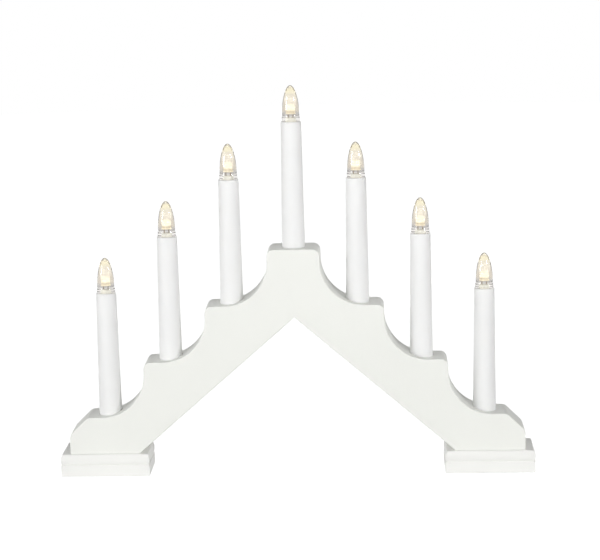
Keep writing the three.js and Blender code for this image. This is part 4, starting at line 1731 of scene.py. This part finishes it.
@dataclass
class BackDrive:
    """What is let into the back: cover, door, battery tray, cells, spring, contact, switch knob and screws.

    Sizes are in millimetres. Along and offset are measured from the apex and the inner edge of an arm.
    """

    board: ArchBoard
    cover_thickness: float = 3.0
    cover_margin: float = 2.6
    cover_ledge: float = 2.5
    cover_ease: float = 0.35
    bay_inset: float = 5.2
    cell_count: int = 2
    cell_diameter: float = 14.5
    cell_length: float = 50.5
    cell_round: float = 0.6
    nub_radius: float = 2.75
    nub_height: float = 1.4
    nub_round: float = 0.4
    dish_inset: float = 1.6
    dish_slope: float = 0.6
    dish_depth: float = 0.35
    headroom: float = 1.2
    tray_wall: float = 1.4
    tray_start: float = 22.0
    tray_ease: float = 0.3
    panel_corner: float = 0.8
    slot_corner: float = 0.5
    lead_room: float = 5.0
    grip_count: int = 5
    grip_start: float = 6.0
    grip_pitch: float = 2.2
    grip_width: float = 1.1
    grip_reach: float = 4.5
    grip_depth: float = 0.7
    rib_reach: float = 15.0
    rib_thickness: float = 1.0
    rib_depth: float = 3.0
    rib_corner: float = 0.3
    rib_ease: float = 0.2
    spring_length: float = 6.0
    spring_diameter: float = 7.0
    spring_wire: float = 0.8
    spring_turns: int = 4
    spring_steps: int = 48
    contact_side: float = 9.0
    contact_thickness: float = 0.6
    contact_corner: float = 0.2
    contact_ease: float = 0.15
    wire_lane: float = 3.8
    wire_channel: float = 6.0
    wire_diameter: float = 2.4
    control_start: float = 38.0
    control_length: float = 27.0
    control_width: float = 14.0
    control_depth: float = 8.2
    knob_length: float = 3.0
    knob_width: float = 2.4
    knob_travel: float = 4.0
    knob_corner: float = 0.25
    knob_ease: float = 0.3
    ridge_pitch: float = 0.8
    ridge_gap: float = 0.4
    ridge_reach: float = 2.0
    ridge_depth: float = 0.35
    back: float = field(init=False)
    behind: float = field(init=False)
    cover_inside: float = field(init=False)
    rebate: float = field(init=False)
    cover_outer: float = field(init=False)
    hollow_half: float = field(init=False)
    door_half_length: float = field(init=False)
    door_half_width: float = field(init=False)
    tray_width: float = field(init=False)
    tray_end: float = field(init=False)
    tray_centre: float = field(init=False)
    tray_middle: float = field(init=False)
    cell_depth: float = field(init=False)
    tray_floor: float = field(init=False)
    bay_floor: float = field(init=False)
    lane: float = field(init=False)
    channel_foot: float = field(init=False)
    cover_foot: float = field(init=False)
    control_middle: float = field(init=False)
    control_centre: float = field(init=False)
    right: Placing = field(init=False)
    left: Placing = field(init=False)

    def __post_init__(self) -> None:
        """Works out depths and offsets as the construction does."""
        self.back = float(self.board.high[1])
        self.behind = self.back + CUT_OVERRUN
        self.cover_inside = self.back - self.cover_thickness
        self.rebate = self.cover_inside - FIT_GAP
        self.cover_outer = self.board.arm_width_low - self.cover_margin
        inner_width = self.cell_diameter + 2 * FIT_GAP
        cells = self.cell_count * (self.cell_length + FIT_GAP)
        inner_length = self.contact_thickness + cells + self.spring_length + 3 * FIT_GAP
        self.hollow_half = inner_width / 2
        self.door_half_length = (inner_length + self.tray_wall) / 2
        self.door_half_width = (inner_width + self.tray_wall) / 2
        self.tray_width = inner_width + 2 * self.tray_wall
        tray_length = inner_length + 2 * self.tray_wall
        self.tray_end = self.tray_start + tray_length
        self.tray_centre = self.tray_start + tray_length / 2
        self.tray_middle = self.bay_inset + FIT_GAP + self.tray_width / 2
        self.cell_depth = self.cover_inside - self.headroom - self.cell_diameter / 2
        self.tray_floor = self.cell_depth - self.cell_diameter / 2 - FIT_GAP
        self.bay_floor = self.tray_floor - self.tray_wall - FIT_GAP
        self.lane = self.bay_inset + FIT_GAP + self.tray_width + self.wire_lane / 2
        lowest_lane = self.lane_height(self.board.reach(0))
        self.channel_foot = lowest_lane - self.wire_channel / 2 - self.wire_diameter / 2
        self.cover_foot = self.channel_foot - self.cover_ledge
        self.control_middle = self.bay_inset + FIT_GAP + self.control_width / 2
        self.control_centre = self.control_start + self.control_length / 2
        self.right = self.board.arm(Side.RIGHT)
        self.left = self.board.arm(Side.LEFT)

    def lane_height(self, reach: float) -> float:
        """Height of the wire lane at a distance from the middle."""
        slope = self.board.slope
        return self.board.apex + (self.lane - reach * math.sin(slope)) / math.cos(slope)

    def board_cutters(self) -> list[Surface]:
        """What the drive takes out of the board: cover rebate, wire channel and both bays.

        Returns:
            The closed cutters.
        """
        rebate = self.board.chevron(self.cover_margin, self.cover_outer, self.cover_foot)
        channel = self.board.chevron(*about(self.lane, self.wire_channel / 2), self.channel_foot)
        bay = (self.bay_inset, self.lane + self.wire_lane / 2)
        tray_room = (self.tray_start - self.lead_room, self.tray_end + FIT_GAP)
        control_room = (self.control_start - FIT_GAP, self.control_start + self.control_length + FIT_GAP)
        return [
            slab(rebate, square_edged(self.rebate, self.behind)),
            slab(channel, square_edged(self.bay_floor, self.behind)),
            bar(self.right, tray_room, bay, (self.bay_floor, self.behind)),
            bar(self.left, control_room, bay, (self.rebate - self.control_depth, self.behind)),
        ]

    def build_cover(self) -> None:
        """Makes the cover with its door opening, switch slot and countersinks, and its screws."""
        sheet = self.board.chevron(
            self.cover_margin + FIT_GAP, self.cover_outer - FIT_GAP, self.cover_foot + FIT_GAP)
        cover = slab(sheet, eased(self.cover_inside, self.back, self.cover_ease, steps=3)).piece("back_cover")
        through = (self.cover_inside - CUT_OVERRUN, self.behind)
        slot_half_length = (self.knob_length + self.knob_travel) / 2 + FIT_GAP
        cutters = [
            bar(self.right, about(self.tray_centre, self.door_half_length + FIT_GAP),
                about(self.tray_middle, self.door_half_width + FIT_GAP), through, self.panel_corner),
            bar(self.left, about(self.control_centre, slot_half_length),
                about(self.control_middle, self.knob_width / 2 + FIT_GAP), through, self.slot_corner),
        ]
        steel = ZINC_STEEL.material()
        for name in ("apex", "left_middle", "left_end", "right_end"):
            screw = CoverScrew(name, self.back)
            cutters.append(screw.sink())
            screw.build(steel)
        carve(cover, cutters)
        level_normals(cover)
        enlist(cover, "arch", "cover_board", BACK_BOARD.material(), "rear_cover")

    def build_door(self) -> None:
        """Makes the battery door with its grip grooves outside and its ribs inside."""
        white = DOOR_WHITE.material()
        length = about(self.tray_centre, self.door_half_length)
        width = about(self.tray_middle, self.door_half_width)
        panel = bar(
            self.right, length, width, (self.cover_inside, self.back), self.panel_corner, self.cover_ease)
        door = panel.piece("battery_lid")
        grip_width = about(self.tray_middle, self.grip_reach)
        grip_depth = (self.back - self.grip_depth, self.behind)
        ends = length[1] - self.grip_start - self.grip_pitch * np.arange(self.grip_count)
        grips = [
            bar(self.right, (end - self.grip_width, end), grip_width, grip_depth, self.slot_corner)
            for end in ends
        ]
        carve(door, grips)
        level_normals(door)
        enlist(door, "battery_door", "white_plastic", white, "battery_door")
        outer = self.hollow_half - FIT_GAP
        ribs = []
        for side in Side:
            middle = self.tray_middle + side.value * (outer - self.rib_thickness / 2)
            ribs.append(bar(
                self.right, about(self.tray_centre, self.rib_reach), about(middle, self.rib_thickness / 2),
                (self.cover_inside - self.rib_depth, self.cover_inside), self.rib_corner, self.rib_ease))
        clips = merged(*ribs).piece("battery_lid_ribs")
        enlist(clips, "battery_door", "white_plastic", white)

    def cell(self) -> Surface:
        """A round cell along its own Z with its nub down at 0: nub, shoulder, sleeve and a dished end.

        Returns:
            The turned surface.
        """
        radius, length, dish = self.cell_diameter / 2, self.cell_length, self.cell_length - self.dish_depth
        profile = chain(
            (0, 0),
            corner_round((self.nub_radius, 0), self.nub_round, Corner.OUTER_LOW, steps=4),
            (self.nub_radius, self.nub_height),
            (radius - 2 * self.cell_round, self.nub_height),
            corner_round((radius, self.nub_height), self.cell_round, Corner.OUTER_LOW, steps=5),
            corner_round((radius, length), self.cell_round, Corner.OUTER_TOP, steps=5),
            (radius - self.dish_inset, length),
            (radius - self.dish_inset - self.dish_slope, dish),
            (0, dish),
        )
        return lathe(profile, sides=64)

    def along_tray(self, start: float) -> Placing:
        """Gives the placing of something that lies along the tray, with its own Z outwards along the arm."""
        offset = (start, self.tray_middle, self.cell_depth)
        return lambda points: self.right(points[:, [2, 0, 1]] + offset)

    def build_battery(self) -> None:
        """Makes tray, contact, cells and spring."""
        middle, floor = self.tray_middle, self.tray_floor
        tray = bar(
            self.right, (self.tray_start, self.tray_end), about(middle, self.tray_width / 2),
            (floor - self.tray_wall, self.rebate), self.panel_corner, self.tray_ease).piece("cell_tray")
        hollow = bar(
            self.right, (self.tray_start + self.tray_wall, self.tray_end - self.tray_wall),
            about(middle, self.hollow_half), (floor, self.rebate + CUT_OVERRUN), self.slot_corner)
        carve(tray, [hollow])
        level_normals(tray)
        enlist(tray, "arch", "black_plastic", BLACK_PLASTIC.material(), "battery_tray")
        start = self.tray_start + self.tray_wall + FIT_GAP
        plate = bar(
            self.right, (start, start + self.contact_thickness), about(middle, self.contact_side / 2),
            (floor + FIT_GAP, floor + FIT_GAP + self.contact_side), self.contact_corner, self.contact_ease)
        contact = plate.piece("contact_plate")
        enlist(contact, "arch", "contact_brass", CONTACT_BRASS.material(), "battery_contact")
        start += self.contact_thickness + FIT_GAP
        sleeve = CELL_SLEEVE.material()
        for number in range(1, self.cell_count + 1):
            cell = self.cell().mapped(self.along_tray(start)).piece(f"round_cell_{number}")
            enlist(cell, "arch", "cell_jacket", sleeve, f"battery_cell_{number}")
            start += self.cell_length + FIT_GAP
        share = np.linspace(0, 1, self.spring_steps * self.spring_turns + 1)
        angle = 2 * np.pi * self.spring_turns * share
        radius = (self.spring_diameter - self.spring_wire) / 2
        rise = self.spring_wire / 2 + share * (self.spring_length - self.spring_wire)
        helix = np.column_stack((radius * np.cos(angle), radius * np.sin(angle), rise))
        coil = sweep(self.along_tray(start)(helix), self.spring_wire / 2, sides=12).piece("coil_spring")
        enlist(coil, "arch", "steel", ZINC_STEEL.material(), "battery_spring")

    def build_switch(self) -> None:
        """Makes the ridged knob of the slide switch, at the outer end of its travel."""
        low, high = box_of("switch_slider")
        centre = self.control_centre + self.knob_travel / 2
        knob = bar(
            self.left, about(centre, self.knob_length / 2), about(self.control_middle, self.knob_width / 2),
            (low[1], high[1]), self.knob_corner, self.knob_ease).piece("switch_knob")
        width = about(self.control_middle, self.ridge_reach)
        depth = (high[1] - self.ridge_depth, high[1] + CUT_OVERRUN)
        grooves = [
            bar(self.left, about(centre + place * self.ridge_pitch, self.ridge_gap / 2), width, depth)
            for place in (-1, 0, 1)
        ]
        carve(knob, grooves)
        enlist(knob, "switch_slider", "black_plastic", BLACK_PLASTIC.material(), "switch_slider")

    def dress_hidden(self) -> None:
        """Gives the solids inside the board, which stay as they are, their finishes."""
        finishes = {
            "wiring_harness": WIRE_SLEEVE.material(),
            "control_board": BOARD_GREEN.material(),
            "switch_body": BLACK_PLASTIC.material(),
        }
        steel = ZINC_STEEL.material()
        for side in Side:
            for place in ("inner", "outer"):
                finishes[f"{side.word}_foot_screw_{place}"] = steel
        for node, material in finishes.items():
            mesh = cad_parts[node].data
            mesh.materials.clear()
            mesh.materials.append(material)
            LOG.info("%s: keeps its solid, dressed in %s", node, material.name)


# Studio


@dataclass(frozen=True)
class SoftBox:
    """A square area light aimed at the object.

    Attributes:
        name: Name of the light.
        azimuth: Degrees round from the front, to the right.
        elevation: Degrees up from the object's middle.
        size: Side of the square in metres.
        level: Light that falls square on the object, as a share of what makes white paint white.
        mirrored: Whether glossy surfaces mirror it and clear ones show it.
        distance: Metres to the object's middle.
    """

    name: str
    azimuth: float
    elevation: float
    size: float
    level: float
    mirrored: bool = True
    distance: float = 2.2

    def build(self, aim: Vector) -> None:
        """Sets the light up: its power is the level times the square of pi and of the distance.

        Args:
            aim: The object's middle.
        """
        lamp = bpy.data.lights.new(self.name, "AREA")
        lamp.size = self.size
        lamp.energy = self.level * (math.pi * self.distance) ** 2
        azimuth, elevation = math.radians(self.azimuth), math.radians(self.elevation)
        ahead = Vector((
            math.sin(azimuth) * math.cos(elevation),
            -math.cos(azimuth) * math.cos(elevation),
            math.sin(elevation),
        ))
        holder = bpy.data.objects.new(self.name, lamp)
        holder.location = aim + self.distance * ahead
        holder.rotation_euler = ahead.to_track_quat("Z", "Y").to_euler()
        holder.visible_glossy = self.mirrored
        holder.visible_transmission = self.mirrored
        bpy.context.scene.collection.objects.link(holder)


SOFT_BOXES = (
    SoftBox("left_light", azimuth=-60, elevation=13, size=0.8, level=0.35),
    SoftBox("right_light", azimuth=56, elevation=19, size=0.3, level=0.305),
    SoftBox("front_light", azimuth=0, elevation=15, size=1.2, level=0.445, mirrored=False),
    SoftBox("back_light", azimuth=180, elevation=0, size=0.5, level=0.66, mirrored=False, distance=5.0),
)


@dataclass
class Studio:
    """White floor and surroundings, soft boxes round the object, and the camera.

    Lengths are in metres and angles in degrees.
    """

    floor_radius: float = 3.0
    floor_tone: Colour = (0.74, 0.74, 0.73)
    floor_light: float = 0.04
    shown_light: float = 0.96
    shown_tone: Colour = (0.5, 0.5, 0.5)
    horizon: float = 0.22
    fade: float = 1.5
    lean: float = 0.25
    aim: tuple[float, float, float] = (0.0, 0.0, 0.16)
    camera_place: tuple[float, float, float] = (0.0661, -1.5590, 0.4707)
    pitch: float = 11.124
    yaw: float = -2.250
    roll: float = -1.204
    lens: float = 114.03
    sensor: float = 36.0

    def background_share(self, bench: Bench) -> Socket:
        """Lays nodes that give 1 on rays which show the background: seen, mirrored or shining through.

        Args:
            bench: Where the nodes are laid.

        Returns:
            The share as an output socket.
        """
        path = bench.lay("LightPath").outputs
        share = path["Is Camera Ray"]
        for name in ("Is Glossy Ray", "Is Transmission Ray"):
            share = bench.lay("Math", {0: share, 1: path[name]}, operation="MAXIMUM").outputs["Value"]
        return share

    def build_world(self) -> None:
        """Surroundings: white where they show, and on the object a light that fades up and to the right."""
        world = bpy.data.worlds.new("studio_white")
        bench = Bench(world)
        spot = bench.lay("TexCoord").outputs["Generated"]
        heading = bench.lay("SeparateXYZ", {"Vector": spot}).outputs
        drop = bench.between(heading["Z"], 1, 0)
        bend = bench.lay("Math", {0: drop, 1: self.fade}, operation="POWER").outputs["Value"]
        tilt = bench.lay("MapRange", {
            "Value": heading["X"],
            "From Min": -1,
            "To Min": self.horizon * (1 + self.lean),
            "To Max": self.horizon * (1 - self.lean),
        }).outputs["Result"]
        level = bench.lay("Math", {0: bend, 1: tilt}, operation="MULTIPLY").outputs["Value"]
        light = bench.lay("Background", {"Color": WHITE, "Strength": level}).outputs["Background"]
        shown = bench.lay("Background", {"Color": WHITE}).outputs["Background"]
        mix = bench.lay("MixShader", {"Fac": self.background_share(bench), 1: light, 2: shown})
        bench.lay("OutputWorld", {"Surface": mix.outputs["Shader"]})
        bpy.context.scene.world = world

    def build_floor(self) -> None:
        """Floor that shows white with the object's shadow on it, and lights the object from below."""
        material = bpy.data.materials.new("studio_floor")
        bench = Bench(material)
        cloud = bench.noise(bench.place(), cells=3)
        matt = bench.lay("BsdfDiffuse", {"Color": bench.ramp(cloud, shades(self.floor_tone, drift=0.01))})
        lamp = bench.lay("Emission", {"Color": WHITE, "Strength": self.floor_light})
        cast = bench.lay("AddShader", {0: lamp.outputs["Emission"], 1: matt.outputs["BSDF"]})
        thin = bench.lay("BsdfDiffuse", {"Color": (*self.shown_tone, 1)})
        glow = bench.lay("Emission", {"Color": WHITE, "Strength": self.shown_light})
        seen = bench.lay("AddShader", {0: glow.outputs["Emission"], 1: thin.outputs["BSDF"]})
        share = self.background_share(bench)
        mix = bench.lay("MixShader", {"Fac": share, 1: cast.outputs["Shader"], 2: seen.outputs["Shader"]})
        bench.lay("OutputMaterial", {"Surface": mix.outputs["Shader"]})
        disc = np.array([(0, 0), (self.floor_radius / MM, 0)])
        floor = lathe(disc, sides=64).piece("studio_floor")
        floor.data.materials.append(material)

    def build_camera(self) -> None:
        """Camera at the viewing angle: turned by yaw, tipped down by pitch, then rolled."""
        pitch, yaw, roll = (math.radians(angle) for angle in (self.pitch, self.yaw, self.roll))
        ahead = Vector((math.sin(yaw) * math.cos(pitch), math.cos(yaw) * math.cos(pitch), -math.sin(pitch)))
        level = Vector((math.cos(yaw), -math.sin(yaw), 0))
        above = level.cross(ahead)
        right = math.cos(roll) * level + math.sin(roll) * above
        up = -math.sin(roll) * level + math.cos(roll) * above
        view = bpy.data.cameras.new("view")
        view.lens, view.sensor_width, view.sensor_fit = self.lens, self.sensor, "HORIZONTAL"
        camera = bpy.data.objects.new("view", view)
        turn = Matrix((right, up, -ahead)).transposed().to_4x4()
        camera.matrix_world = Matrix.Translation(self.camera_place) @ turn
        bpy.context.scene.collection.objects.link(camera)
        bpy.context.scene.camera = camera

    def build(self) -> None:
        """Sets up the whole studio."""
        bpy.context.scene.view_settings.view_transform = "Standard"
        self.build_camera()
        self.build_world()
        self.build_floor()
        for box in SOFT_BOXES:
            box.build(Vector(self.aim))


def main() -> None:
    """Builds the studio and every sub-assembly."""
    logging.basicConfig(level=logging.INFO, format="%(name)s %(message)s")
    Studio().build()
    board = ArchBoard()
    drive = BackDrive(board)
    board.build(drive)
    paint, felt = FOOT_PAINT_BOUNCE_LIT.material(), PAD_FELT.material()
    for side in Side:
        MouldedFoot(side).build(paint, felt)
    candle_finishes = {
        "tube": CANDLE_WHITE,
        "socket_cup": SOCKET_IVORY,
        "bulb_plug": PLUG_IVORY,
        "diode": LED_LIGHT,
        "clear_bullet": BULB_CLEAR,
        "bore": BULB_BORE,
        "diode_leads": LEAD_STEEL,
    }
    materials = {name: finish.material() for name, finish in candle_finishes.items()}
    for number in CANDLES:
        Candle(number).build(materials)
    drive.build_cover()
    drive.build_door()
    drive.build_battery()
    drive.build_switch()
    drive.dress_hidden()


if __name__ == "__main__":
    main()
